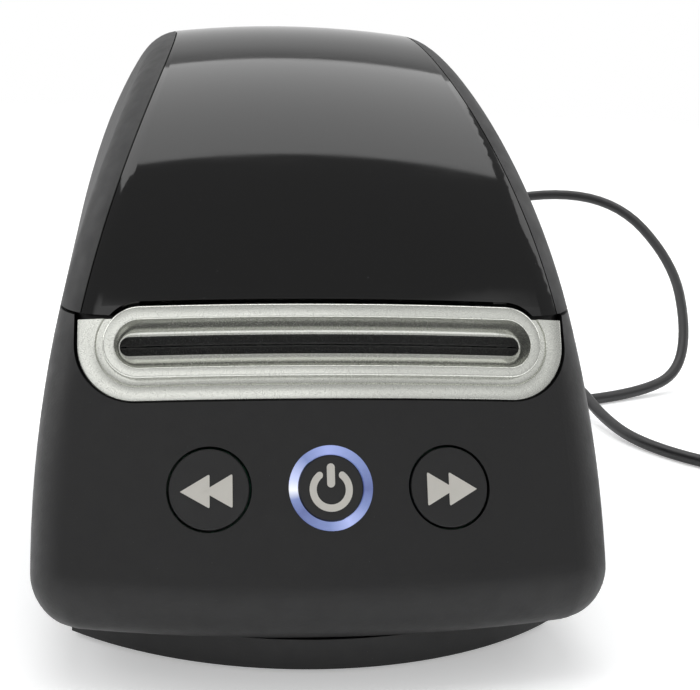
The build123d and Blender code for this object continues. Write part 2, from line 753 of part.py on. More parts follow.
def inner_tray():
    """Inner tray: deck on the body's ledges, roll well with cheeks, and the ramp to the rollers."""
    deck_top = DECK_Z + TRAY_T
    below = block(-WIDTH, WIDTH, -DEPTH, DEPTH, 0, deck_top)
    hollow = slab_x(well_section(0, RAMP_END), -CHEEK_X, CHEEK_X)
    trough = slab_x(well_section(TRAY_T, RAMP_END), -CHEEK_X, CHEEK_X)
    trough -= on_plane(FEED, Box(WIDTH, 20, DEPTH), 0, RAMP_END - 9, 0)
    cheek = well_section(TRAY_T, CHEEK_FROM)
    ends = slab_x(cheek, CHEEK_X, CHEEK_X + CHEEK_T) + slab_x(cheek, -CHEEK_X - CHEEK_T, -CHEEK_X)
    deck = block(-WIDTH, WIDTH, DECK_FRONT - 1, DECK_REAR, DECK_Z + 0.05, deck_top)
    tray = (trough + ends) & below
    tray += deck & form(WALL + DECK_GAP)
    tray -= hollow
    notch = AXLE_R + AXLE_GAP
    reach = CHEEK_X + CHEEK_T + 1
    tray -= along_x(notch, -reach, reach, ROLL_Y, ROLL_Z)
    tray -= block(-reach, reach, ROLL_Y - notch, ROLL_Y + notch, ROLL_Z, deck_top + 1)
    window = Box(SENSOR_WINDOW, SENSOR_WINDOW, 8)
    return tray - on_plane(FEED, window, 0, SENSOR_S, -RAMP_DROP)


def spool_core():
    """Spool: spindle tube with a fixed left flange and an axle stub at each end."""
    left = ROLL_LEFT - 0.2
    right = CHEEK_X - 1.5
    axle = CHEEK_X + CHEEK_T + 0.3
    core = along_x(SPINDLE_R, left, right, ROLL_Y, ROLL_Z)
    core -= along_x(SPINDLE_R - SPINDLE_T, left, right - SPINDLE_T, ROLL_Y, ROLL_Z)
    core += along_x(FLANGE_R, left - FLANGE_T, left, ROLL_Y, ROLL_Z)
    core += along_x(AXLE_R, -axle, left, ROLL_Y, ROLL_Z)
    return core + along_x(AXLE_R, right - 1, axle, ROLL_Y, ROLL_Z)


def spool_guide():
    """Right-hand guide flange that slides along the spindle to suit the roll's width."""
    x0 = ROLL_LEFT + ROLL_W + 0.3
    guide = along_x(FLANGE_R, x0, x0 + FLANGE_T, ROLL_Y, ROLL_Z)
    guide += along_x(SPINDLE_R + 2.6, x0, x0 + FLANGE_T + GUIDE_HUB, ROLL_Y, ROLL_Z)
    for i in range(GUIDE_WINDOWS):
        angle = 2 * pi * i / GUIDE_WINDOWS
        y, z = ROLL_Y + WINDOW_AT * cos(angle), ROLL_Z + WINDOW_AT * sin(angle)
        guide -= along_x(WINDOW_R, x0 - 1, x0 + FLANGE_T + 1, y, z)
    return guide - along_x(SPINDLE_R + AXLE_GAP, x0 - 1, x0 + 20, ROLL_Y, ROLL_Z)


def roll_ring(outer, inner, trim=0.0):
    """Ring on the spool's axis as wide as the roll."""
    x0, x1 = ROLL_LEFT + trim, ROLL_LEFT + ROLL_W - trim
    return along_x(outer, x0, x1, ROLL_Y, ROLL_Z) - along_x(inner, x0, x1, ROLL_Y, ROLL_Z)


def label_web():
    """Label web from the bottom of the roll to just behind the slot."""
    start = -SLOT_TO_NIP
    length = WEB_L - 4.0 - start
    web = Box(ROLL_W - 2, length, WEB_T)
    return on_plane(FEED, web, ROLL_LEFT + ROLL_W / 2, start + length / 2, 0)


def side_plate(x0, x1):
    """Steel side plate of the feed mechanism, bored for its shafts."""
    outline = [
        (FRAME_REAR, FRAME_FOOT_Z), (FRAME_REAR, 44.0),
        flat(feed_point(30, 3)), flat(feed_point(27, 12)), flat(feed_point(13, 12)),
        flat(feed_point(11, BRIDGE_N + BRIDGE_T)), flat(feed_point(-3, BRIDGE_N + BRIDGE_T)),
        flat(feed_point(-7, 6)), flat(feed_point(-7, -12)),
        (FRAME_FRONT, 40.0), (FRAME_FRONT, FRAME_FOOT_Z),
    ]
    plate = slab_x(make_face(Polyline(*outline, close=True)), x0, x1)
    plate -= along_x(BUSH_R, x0, x1, *flat(PLATEN))
    plate -= along_x(HEAD_PIN_R + RUN_GAP, x0, x1, *flat(PIVOT))
    return plate - along_x(LEVER_PIN_R + RUN_GAP, x0, x1, *flat(LEVER))


def mechanism_frame():
    """Steel frame of the feed mechanism: two side plates, a floor and a bridge."""
    outer = FRAME_X + FRAME_T
    frame = side_plate(FRAME_X, outer) + side_plate(-outer, -FRAME_X)
    frame += block(-outer, outer, FRAME_FRONT, FRAME_REAR, FRAME_FOOT_Z, FRAME_FOOT_Z + 2.0)
    bridge = Box(2 * outer, 10, BRIDGE_T)
    frame += on_plane(FEED, bridge, 0, 4, BRIDGE_N + BRIDGE_T / 2)
    frame -= along_x(MOTOR_BOSS_R + 0.1, FRAME_X - 1, outer + 1, *flat(MOTOR))
    frame -= along_x(IDLER_PIN_R, FRAME_X - 1, outer + 1, *flat(IDLER))
    for y, z in motor_screw_points():
        frame -= along_x(1.2, FRAME_X - 1, outer + 1, y, z)
    return frame


def motor_screw_points():
    """Y and Z of the two screws that hold the motor to its side plate."""
    points = []
    for angle in (20, 200):
        reach = MOTOR_R - 3.0
        points.append((MOTOR.Y + reach * cos(radians(angle)), MOTOR.Z + reach * sin(radians(angle))))
    return points


def mechanism_screws():
    """Two screws that hold the motor to its side plate."""
    outer = FRAME_X + FRAME_T
    screws = []
    for y, z in motor_screw_points():
        screws.append(along_x(2.0, outer, outer + 1.0, y, z) + along_x(1.15, FRAME_X, outer + 0.5, y, z))
    return Compound(screws)


def platen_shaft():
    """Steel shaft of the platen roller with a flat at its gear end."""
    shaft = along_x(SHAFT_R, -FRAME_X - FRAME_T - 2, GEAR_X + GEAR_W + 1.2, *flat(PLATEN))
    flat_cut = block(GEAR_X + GEAR_W + 0.1, GEAR_X + GEAR_W + 2, -99, 99, PLATEN.Z + 1.6, 99)
    return shaft - flat_cut


def platen_rubber():
    """Rubber sleeve of the platen roller."""
    sleeve = along_x(PLATEN_R, -PLATEN_HALF, PLATEN_HALF, *flat(PLATEN))
    return sleeve - along_x(SHAFT_R, -PLATEN_HALF, PLATEN_HALF, *flat(PLATEN))


def platen_bushes():
    """Two lipped bushes that carry the platen shaft in the side plates."""
    bushes = []
    for side in (-1, 1):
        x0, x1 = FRAME_X, FRAME_X + FRAME_T + BUSH_LIP
        lip = along_x(BUSH_R + 1.0, FRAME_X + FRAME_T + 0.02, x1, *flat(PLATEN))
        bush = along_x(BUSH_R - 0.02, x0, x1, *flat(PLATEN)) + lip
        bush -= along_x(SHAFT_R + RUN_GAP, x0 - 1, x1 + 1, *flat(PLATEN))
        bushes.append(bush if side > 0 else mirror(bush, Plane.YZ))
    return Compound(bushes)


def gear(centre, teeth, tooth_angle, bore):
    """Spur gear on an axis along X, with the middle of one tooth at that angle."""
    tip = MODULE * (teeth / 2 + 0.8)
    root = MODULE * (teeth / 2 - 1.15)
    pitch = 360 / teeth
    points = []
    for i in range(teeth):
        middle = tooth_angle + i * pitch
        for radius, part in ((root, -0.33), (tip, -0.13), (tip, 0.13), (root, 0.33)):
            angle = radians(middle + part * TOOTH_FILL * pitch)
            points.append((centre.Y + radius * cos(angle), centre.Z + radius * sin(angle)))
    body = slab_x(make_face(Polyline(*points, close=True)), GEAR_X, GEAR_X + GEAR_W)
    return body - along_x(bore, GEAR_X, GEAR_X + GEAR_W, *flat(centre))


def tooth_phase(driver_tooth, driver_teeth, teeth, angle):
    """Angle of a tooth of the gear meshing with a driver that lies back along that angle."""
    driver_part = (angle - driver_tooth) * driver_teeth / 360
    own_part = 0.5 - driver_part
    return angle + 180 - own_part * 360 / teeth


def gears():
    """Platen gear, idler and motor pinion, in mesh."""
    platen_tooth = 0.0
    idler_tooth = tooth_phase(platen_tooth, PLATEN_TEETH, IDLER_TEETH, IDLER_ANGLE)
    pinion_tooth = tooth_phase(idler_tooth, IDLER_TEETH, PINION_TEETH, PINION_ANGLE)
    platen = gear(PLATEN, PLATEN_TEETH, platen_tooth, SHAFT_R)
    idler = gear(IDLER, IDLER_TEETH, idler_tooth, IDLER_PIN_R + RUN_GAP)
    for i in range(5):
        angle = radians(idler_tooth + i * 72)
        y, z = IDLER.Y + 7.6 * cos(angle), IDLER.Z + 7.6 * sin(angle)
        idler -= along_x(2.6, GEAR_X, GEAR_X + GEAR_W, y, z)
    return platen, idler, gear(MOTOR, PINION_TEETH, pinion_tooth, MOTOR_SHAFT_R)


def idler_pin():
    """Headed pin, pressed into the side plate, that the idler turns on."""
    end = GEAR_X + GEAR_W + 0.2
    pin = along_x(IDLER_PIN_R, FRAME_X, end, *flat(IDLER))
    collar = along_x(3.2, FRAME_X + FRAME_T, GEAR_X - 0.2, *flat(IDLER))
    return pin + collar + along_x(3.2, end, end + 0.9, *flat(IDLER))


def motor_body():
    """Stepper motor can with a locating boss on its face."""
    can = along_x(MOTOR_R, FRAME_X - MOTOR_L, FRAME_X - 0.03, *flat(MOTOR))
    can = fillet(can.edges().group_by(Axis.X)[0], 1.0)
    can += along_x(MOTOR_BOSS_R, FRAME_X - 0.1, FRAME_X + 1.5, *flat(MOTOR))
    can += along_x(3.0, FRAME_X - MOTOR_L - 1.5, FRAME_X - MOTOR_L + 0.1, *flat(MOTOR))
    can -= along_x(MOTOR_SHAFT_R + RUN_GAP, FRAME_X - 8, FRAME_X + 3, *flat(MOTOR))
    for y, z in motor_screw_points():
        can -= along_x(1.2, FRAME_X - 1, FRAME_X + 1, y, z)
    return can


def motor_shaft():
    """Motor shaft from inside the can to the pinion."""
    return along_x(MOTOR_SHAFT_R, FRAME_X - 7.8, GEAR_X + GEAR_W + 0.8, *flat(MOTOR))


def head_carrier():
    """Pivoting carrier of the print head: finned plate, two arms and their pivot pins."""
    base = HEAD_GAP + HEAD_T + 0.03
    inside = HEAD_HALF + 2.5
    arm_low = LEVER_PIVOT[1] + LEVER_PIN_R + 0.2
    arm_high = 2 * HEAD_PIVOT[1] - arm_low
    carrier = on_plane(FEED, Box(2 * inside, HEAD_L, CARRIER_T), 0, HEAD_S, base + CARRIER_T / 2)
    for i in range(FINS):
        s = HEAD_S - HEAD_L / 2 + 1 + i * (HEAD_L - 2) / (FINS - 1)
        fin = Box(2 * inside - 6, FIN_T, FIN_H)
        carrier += on_plane(FEED, fin, 0, s, base + CARRIER_T + FIN_H / 2 - 0.05)
    for side in (-1, 1):
        x = side * (inside - 1.25)
        cheek = Box(2.5, HEAD_L, arm_high - base)
        carrier += on_plane(FEED, cheek, x, HEAD_S, (base + arm_high) / 2)
        s0 = HEAD_S + HEAD_L / 2 - 1
        s1 = HEAD_PIVOT[0]
        arm = Box(2.5, s1 - s0, arm_high - arm_low)
        carrier += on_plane(FEED, arm, x, (s0 + s1) / 2, (arm_low + arm_high) / 2)
        x0, x1 = sorted((side * (inside - 2.5), side * inside))
        carrier += along_x((arm_high - arm_low) / 2, x0, x1, *flat(PIVOT))
        x0, x1 = sorted((side * (inside - 0.5), side * (FRAME_X + FRAME_T + 0.5)))
        carrier += along_x(HEAD_PIN_R, x0, x1, *flat(PIVOT))
        x0, x1 = sorted((side * (inside - 0.5), side * (FRAME_X - 0.3)))
        carrier += along_x(HEAD_PIN_R + 1.0, x0, x1, *flat(PIVOT))
    return carrier


def print_head():
    """Ceramic print head with its raised heater line over the nip."""
    slab = on_plane(FEED, Box(2 * HEAD_HALF, HEAD_L, HEAD_T), 0, HEAD_S, HEAD_GAP + HEAD_T / 2)
    heater = on_plane(FEED, Box(2 * HEAD_HALF - 2, 1.2, 0.4), 0, 0, HEAD_GAP + 0.05)
    return slab + heater


def head_spring():
    """Leaf spring bowed between the bridge and the head's fins."""
    low = HEAD_GAP + HEAD_T + CARRIER_T + FIN_H + 0.2
    top = BRIDGE_N - 0.05
    outer = ThreePointArc((-SPRING_X, low + SPRING_T), (0, top), (SPRING_X, low + SPRING_T))
    inner = ThreePointArc((SPRING_X, low), (0, top - SPRING_T), (-SPRING_X, low))
    ends = [Line((SPRING_X, low + SPRING_T), (SPRING_X, low)), Line((-SPRING_X, low), (-SPRING_X, low + SPRING_T))]
    side = make_face(outer + inner + ends[0] + ends[1])
    upright = Plane(origin=feed_point(SPRING_S, 0), x_dir=(1, 0, 0), z_dir=FEED.y_dir * -1)
    return extrude(upright * side, amount=SPRING_W / 2, both=True)


def lever_shaft():
    """Cross shaft of the head release with a lobe under each arm of the head carrier."""
    outer = FRAME_X + FRAME_T
    shaft = along_x(LEVER_PIN_R, -outer - 1.2 - LEVER_T, outer + 0.8, *flat(LEVER))
    for side in (-1, 1):
        x = side * (HEAD_HALF + 1.25)
        shaft += on_plane(FEED, Box(2.2, LOBE_L, LOBE_T), x, LEVER_PIVOT[0] + LOBE_L / 2, LEVER_PIVOT[1])
    return shaft


def release_lever():
    """Head release lever outside the left side plate, with a thumb pad."""
    x0 = -FRAME_X - FRAME_T - 0.8 - LEVER_T
    x1 = x0 + LEVER_T
    hub = along_x(LEVER_R, x0, x1, *flat(LEVER))
    s, n = LEVER_PIVOT
    hub += on_plane(FEED, Box(LEVER_T, 5.0, LEVER_UP), (x0 + x1) / 2, s, n + LEVER_UP / 2)
    pad = on_plane(FEED, Box(LEVER_T + 4, 6.5, 2.4), (x0 + x1) / 2 - 2, s, n + LEVER_UP)
    pad = fillet(pad.edges().filter_by(Axis.X), 0.9)
    return hub + pad - along_x(LEVER_PIN_R, x0, x1, *flat(LEVER))


def gap_sensor():
    """Gap sensor fixed under the ramp at its window."""
    top = -RAMP_DROP - TRAY_T - 0.05
    can = on_plane(FEED, Box(7.0, 5.0, 2.6), 0, SENSOR_S, top - 1.3)
    return can + on_plane(FEED, Cylinder(1.1, 1.4), 0, SENSOR_S, top + 0.6)


def main_board():
    """Main circuit board over the base tray."""
    board = block(-BOARD_HALF, BOARD_HALF, BOARD_FRONT, BOARD_REAR, BOARD_Z, BOARD_Z + BOARD_T)
    for x, y in main_board_posts():
        board -= along_z(1.3, BOARD_Z - 1, BOARD_Z + 3, x, y)
    return board


def main_board_screws():
    """Screws that hold the main board to its posts."""
    screws = []
    top = BOARD_Z + BOARD_T
    for x, y in main_board_posts():
        head = along_z(2.3, top, top + 1.5, x, y) - Pos(x, y, top + 1.5) * Box(3.2, 0.7, 1.2)
        screws.append(head + along_z(1.2, BOARD_Z - 3, top + 0.1, x, y))
    return Compound(screws)


def board_parts():
    """Chip, capacitors, coil and connectors on the main board."""
    top = BOARD_Z + BOARD_T
    return Compound([
        block(-7, 7, 50, 64, top, top + 1.4),
        block(-24, -16, 52, 58, top, top + 1.2),
        along_z(3.8, top, top + 8.5, 4, 76),
        along_z(3.8, top, top + 8.5, -6, 76),
        block(-18, -10, 62, 70, top, top + 4.0),
        block(10, 24, 60, 65, top, top + 4.5),
        block(17, 25, 48, 54, top, top + 1.6),
    ])


def usb_socket():
    """Square data socket with its opening in the back wall."""
    z0 = BOARD_Z + BOARD_T
    shell = block(USB_X - USB_W / 2, USB_X + USB_W / 2, REAR_Y - USB_L, REAR_Y - 0.2, z0, z0 + USB_H)
    half = USB_PLUG / 2 + 0.3
    z = z0 + USB_H / 2
    return shell - block(USB_X - half, USB_X + half, REAR_Y - PLUG_IN - 0.5, REAR_Y, z - half, z + half)


def power_socket():
    """Round power inlet with its centre pin."""
    z0 = BOARD_Z + BOARD_T
    shell = block(JACK_X - JACK_W / 2, JACK_X + JACK_W / 2, REAR_Y - JACK_L, REAR_Y - 0.2, z0, z0 + JACK_H)
    z = z0 + JACK_H / 2
    bore = along_y(JACK_BORE, REAR_Y - 10, REAR_Y, JACK_X, z)
    return shell - bore + along_y(0.9, REAR_Y - 10.5, REAR_Y - 1.5, JACK_X, z)


def along_y(radius, y0, y1, x, z):
    """Cylinder along Y between two planes."""
    return Pos(x, (y0 + y1) / 2, z) * Cylinder(radius, y1 - y0, rotation=(90, 0, 0))


def cord_plug():
    """Square data plug in its socket: metal shell and moulded grip."""
    y0 = REAR_Y - PLUG_IN
    shell = block(
        USB_X - USB_PLUG / 2, USB_X + USB_PLUG / 2, y0, REAR_Y + 1.5,
        CORD_Z - USB_PLUG / 2, CORD_Z + USB_PLUG / 2,
    )
    grip = block(USB_X - 5.8, USB_X + 5.8, REAR_Y + 0.8, REAR_Y + 26, CORD_Z - 5.2, CORD_Z + 5.2)
    grip = fillet(grip.edges().filter_by(Axis.Y), 1.6)
    grip = fillet(grip.edges().group_by(Axis.Y)[-1], 1.2)
    return shell + grip


def cord_boot():
    """Tapered strain relief behind the plug's grip."""
    base = Plane(origin=(USB_X, REAR_Y + 26, CORD_Z), z_dir=(0, 1, 0)) * Circle(3.6)
    tip = Plane(origin=(USB_X, BOOT_END, CORD_Z), z_dir=(0, 1, 0)) * Circle(CORD_D / 2 + 0.5)
    return loft([base.faces()[0], tip.faces()[0]], ruled=True)


def tube(points, radii):
    """Cord along straight runs joined by tangent arcs."""
    path = FilletPolyline(*points, radius=radii)
    start = Plane(origin=path @ 0, z_dir=path % 0)
    return sweep(start * Circle(CORD_D / 2), path=path), path


def corner_radii(points):
    """Arc for each corner: 0.45 of the shorter run over the tangent of half the turn."""
    radii = []
    for a, b, c in zip(points, points[1:], points[2:]):
        before, after = Vector(b) - Vector(a), Vector(c) - Vector(b)
        turn = radians(before.get_angle(after))
        radii.append(0.45 * min(before.length, after.length) / tan(turn / 2))
    return radii


def free_cord(name, points):
    """Free stretch of cord; prints its radii and compares its volume with its length."""
    radii = corner_radii(points)
    solid, path = tube(points, radii)
    print(name, "radii", [round(r, 1) for r in radii], "length", round(path.length, 1))
    print(name, "volume over section times length", round(solid.volume / (CORD_SECTION * path.length), 4))
    return solid


def lead_points():
    """Route of the lead from the strain relief to the coil."""
    return [
        (USB_X, BOOT_END, CORD_Z), (USB_X, 146, CORD_Z), (36, 174, 32), (72, 196, 50),
        (114, 202, 60), (150, 186, 58), (166, 162, 42), (169, 139, 20), (162, 124, 6),
        (143, 111, CORD_REST), (112, 98, CORD_REST), (82, 97, CORD_REST), (60, 108, CORD_REST),
        (58, 134, CORD_REST), (80, 153, CORD_REST), (103, 143, 3.6), (110, 119, 7.0),
        (112, 97, 8.2), (113, 76, 4.0),
        (118, 56, CORD_REST), (134, 34, CORD_REST), (158, COIL_Y + COIL_R, CORD_REST),
        (COIL_X - CORD_D, COIL_Y + COIL_R, CORD_REST),
    ]


def coil_point(turns):
    """Place on the coil after that many turns: in on the lower layer, out on the upper."""
    half = COIL_TURNS / 2
    if turns <= half:
        radius, z = COIL_R - COIL_PITCH * turns, CORD_REST
    elif turns <= half + 0.5:
        radius = COIL_R - COIL_PITCH * half - CLIMB_DIP * sin(2 * pi * (turns - half))
        z = CORD_REST + COIL_PITCH * (turns - half) * 2
    else:
        radius, z = COIL_R - COIL_PITCH * (COIL_TURNS + 0.5 - turns), CORD_REST + COIL_PITCH
    angle = pi / 2 - 2 * pi * turns
    return Vector(COIL_X + radius * cos(angle), COIL_Y + radius * sin(angle), z)


def coil_heading(turns):
    """Level direction of the cord at that point of the coil."""
    angle = pi / 2 - 2 * pi * turns
    return Vector(sin(angle), -cos(angle), 0)


def biarc(start, heading, end, end_heading):
    """Two tangent arcs from one point and heading to another."""
    span = end - start
    both = heading + end_heading
    k = 2 * (1 - heading.dot(end_heading))
    along = span.dot(both)
    if k > 1e-9:
        reach = (-along + sqrt(along**2 + k * span.dot(span))) / k
    else:
        reach = span.dot(span) / (4 * span.dot(end_heading))
    middle = (start + end + (heading - end_heading) * reach) * 0.5
    first = TangentArc(start, middle, tangent=heading)
    return [first, TangentArc(middle, end, tangent=first % 1)]


def coil_path():
    """Coil as one line: straight ends, and a biarc for each half turn, or quarter in the climb."""
    steps = int(COIL_TURNS * 2) + 1
    first, last = coil_point(0), coil_point(steps / 2)
    stops = sorted([i / 2 for i in range(steps + 1)] + [COIL_TURNS / 2 + 0.25])
    edges = [Line(first - coil_heading(0) * CORD_D, first)]
    for a, b in zip(stops, stops[1:]):
        edges += biarc(coil_point(a), coil_heading(a), coil_point(b), coil_heading(b))
    edges.append(Line(last, last + coil_heading(steps / 2) * CORD_D))
    return Wire([e for part in edges for e in part.edges()])


def cord_coil():
    """Put-away length of cord: two flat layers of turns in one unbroken tube."""
    path = coil_path()
    start = Plane(origin=path @ 0, z_dir=path % 0)
    coil = sweep(start * Circle(CORD_D / 2), path=path)
    samples = [path @ (i / 900) for i in range(901)]
    step = path.length / 900
    apart = int(3 * CORD_D / step)
    gap = min(
        (samples[i] - samples[j]).length
        for i in range(901) for j in range(i + apart, 901)
    ) - CORD_D
    print("coil length", round(path.length, 1), "least gap to itself", round(gap, 2))
    print("coil volume over section times length", round(coil.volume / (CORD_SECTION * path.length), 4))
    return coil


def tail_points():
    """Route of the short tail from the coil's upper layer down to the far plug."""
    y = coil_point(COIL_TURNS + 0.5).Y
    x = coil_point(COIL_TURNS + 0.5).X - CORD_D
    top = CORD_REST + COIL_PITCH
    return [(x, y, top), (x - 6, y, top), (x - 15, y, TAIL_Z), (x - TAIL_L, y, TAIL_Z)]


def far_plug():
    """Flat data plug at the far end: tapered boot and moulded grip."""
    x, y, z = tail_points()[-1]
    grip = block(x - 8 - 24, x - 8, y - 7.6, y + 7.6, 0.05, 2 * TAIL_Z - 0.05)
    grip = fillet(grip.edges().filter_by(Axis.X), 1.8)
    base = Plane(origin=(x - 8.5, y, z), z_dir=(1, 0, 0)) * Circle(3.3)
    tip = Plane(origin=(x, y, z), z_dir=(1, 0, 0)) * Circle(CORD_D / 2 + 0.4)
    return grip + loft([base.faces()[0], tip.faces()[0]], ruled=True)


def far_plug_shell():
    """Metal shell of the far plug."""
    x, y, z = tail_points()[-1]
    x1 = x - 8 - 24
    shell = block(x1 - 12, x1, y - 6, y + 6, z - 2.25, z + 2.25)
    return shell - block(x1 - 13, x1 - 2, y - 5.6, y + 5.6, z - 0.2, z + 1.9)


def build():
    """Every sub-part by name."""
    platen, idler, pinion = gears()
    return {
        "body_shell": body_shell(),
        "faceplate": faceplate(),
        "slot_felt": slot_felt(),
        "tear_bar": tear_bar(),
        "button_rewind": button_cap(-BUTTON_PITCH, -BUTTON_DROP, BUTTON_R),
        "button_power": button_cap(0, -BUTTON_DROP, POWER_R),
        "button_forward": button_cap(BUTTON_PITCH, -BUTTON_DROP, BUTTON_R),
        "power_ring": power_ring(),
        "button_board": button_board(),
        "button_switches": button_switches(),
        "button_board_screws": board_screws(),
        "base_tray": base_tray(),
        "rubber_feet": rubber_feet(),
        "base_screws": base_screws(),
        "lid_frame": lid_frame(),
        "lid_panel": lid_panel(),
        "hinge_pins": hinge_pins(),
        "inner_tray": inner_tray(),
        "spool_core": spool_core(),
        "spool_guide": spool_guide(),
        "roll_core": roll_ring(CORE_R + CORE_T - 0.5, SPINDLE_R + 0.3),
        "label_roll": roll_ring(ROLL_R, CORE_R + CORE_T - 0.45, 0.3),
        "label_web": label_web(),
        "mechanism_frame": mechanism_frame(),
        "mechanism_screws": mechanism_screws(),
        "platen_shaft": platen_shaft(),
        "platen_rubber": platen_rubber(),
        "platen_bushes": platen_bushes(),
        "platen_gear": platen,
        "idler_gear": idler,
        "idler_pin": idler_pin(),
        "motor_body": motor_body(),
        "motor_shaft": motor_shaft(),
        "motor_pinion": pinion,
        "head_carrier": head_carrier(),
        "print_head": print_head(),
        "head_spring": head_spring(),
        "lever_shaft": lever_shaft(),
        "release_lever": release_lever(),
        "gap_sensor": gap_sensor(),
        "main_board": main_board(),
        "main_board_screws": main_board_screws(),
        "board_parts": board_parts(),
        "usb_socket": usb_socket(),
        "power_socket": power_socket(),
        "cord_plug": cord_plug(),
        "cord_boot": cord_boot(),
        "cord_lead": free_cord("lead", lead_points()),
        "cord_coil": cord_coil(),
        "cord_tail": free_cord("tail", tail_points()),
        "far_plug": far_plug(),
        "far_plug_shell": far_plug_shell(),
    }


def main():
    os.makedirs("parts", exist_ok=True)
    for name, shape in build().items():
        export_step(shape, f"parts/{name}.step")


if __name__ == "__main__":
    main()
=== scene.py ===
"""Dresses the label printer: finishes, faceplate, felt, symbols, the lead with its ribs, and the studio."""

import logging
from dataclasses import dataclass, field
from enum import Enum
from math import cos, pi, radians, sin, sqrt
from typing import Iterable

import bmesh
import bpy
from mathutils import Matrix, Vector


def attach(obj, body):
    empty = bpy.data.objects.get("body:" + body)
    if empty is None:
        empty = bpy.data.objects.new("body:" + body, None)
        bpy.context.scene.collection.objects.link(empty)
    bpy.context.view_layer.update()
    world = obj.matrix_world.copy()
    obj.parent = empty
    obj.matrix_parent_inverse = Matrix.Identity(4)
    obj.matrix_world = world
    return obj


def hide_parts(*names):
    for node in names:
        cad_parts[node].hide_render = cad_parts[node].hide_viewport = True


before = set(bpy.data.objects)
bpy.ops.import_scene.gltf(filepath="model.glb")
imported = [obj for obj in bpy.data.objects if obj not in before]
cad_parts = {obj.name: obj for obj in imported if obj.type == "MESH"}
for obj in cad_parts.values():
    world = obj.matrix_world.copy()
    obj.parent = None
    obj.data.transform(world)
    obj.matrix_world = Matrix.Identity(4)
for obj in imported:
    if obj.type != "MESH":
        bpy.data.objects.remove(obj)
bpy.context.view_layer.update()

logging.basicConfig(level=logging.INFO, format="%(message)s")
log = logging.getLogger("label_printer")

MM = 0.001
SMOOTH_ANGLE = 35.0
SYMBOL_ROOT = -0.12 * MM
THINNEST = 0.02 * MM
Point = tuple[float, float, float]
Colour = tuple[float, float, float]
Flat = tuple[float, float]


class Side(Enum):
    """Which way a feed symbol points."""

    LEFT = -1
    RIGHT = 1


class Axis(Enum):
    """Axis that brush marks or a row of ribs run along."""

    X = (1.0, 0.0, 0.0)
    Y = (0.0, 1.0, 0.0)


# Face geometry shared by the faceplate, the felt and the symbols: the leaning front and its crown


@dataclass(frozen=True)
class FrontFace:
    """The printer's leaning, crowned front face in its own coordinates."""

    lean: float = radians(25.0)
    crown: float = 250.0 * MM
    origin_y: float = -71.205 * MM
    origin_z: float = 70.471 * MM
    button_drop: float = 32.0 * MM
    button_pitch: float = 25.7 * MM

    def drop(self, x: float) -> float:
        """Depth of the crowned skin below the flat face at a distance from the middle."""
        return self.crown - sqrt(self.crown**2 - x**2)

    def place(self, x: float, w: float, out: float) -> Vector:
        """Point of the crowned skin.

        Args:
            x: Distance to the right of the middle.
            w: Height up the face from the middle of the slot's rim.
            out: Distance proud of the skin.

        Returns:
            The point in the row frame, in metres.
        """
        up = Vector((0.0, sin(self.lean), cos(self.lean)))
        away = Vector((0.0, -cos(self.lean), sin(self.lean)))
        origin = Vector((x, self.origin_y, self.origin_z))
        return origin + up * w + away * (out - self.drop(x))


FACE = FrontFace()


# Helpers for shader nodes


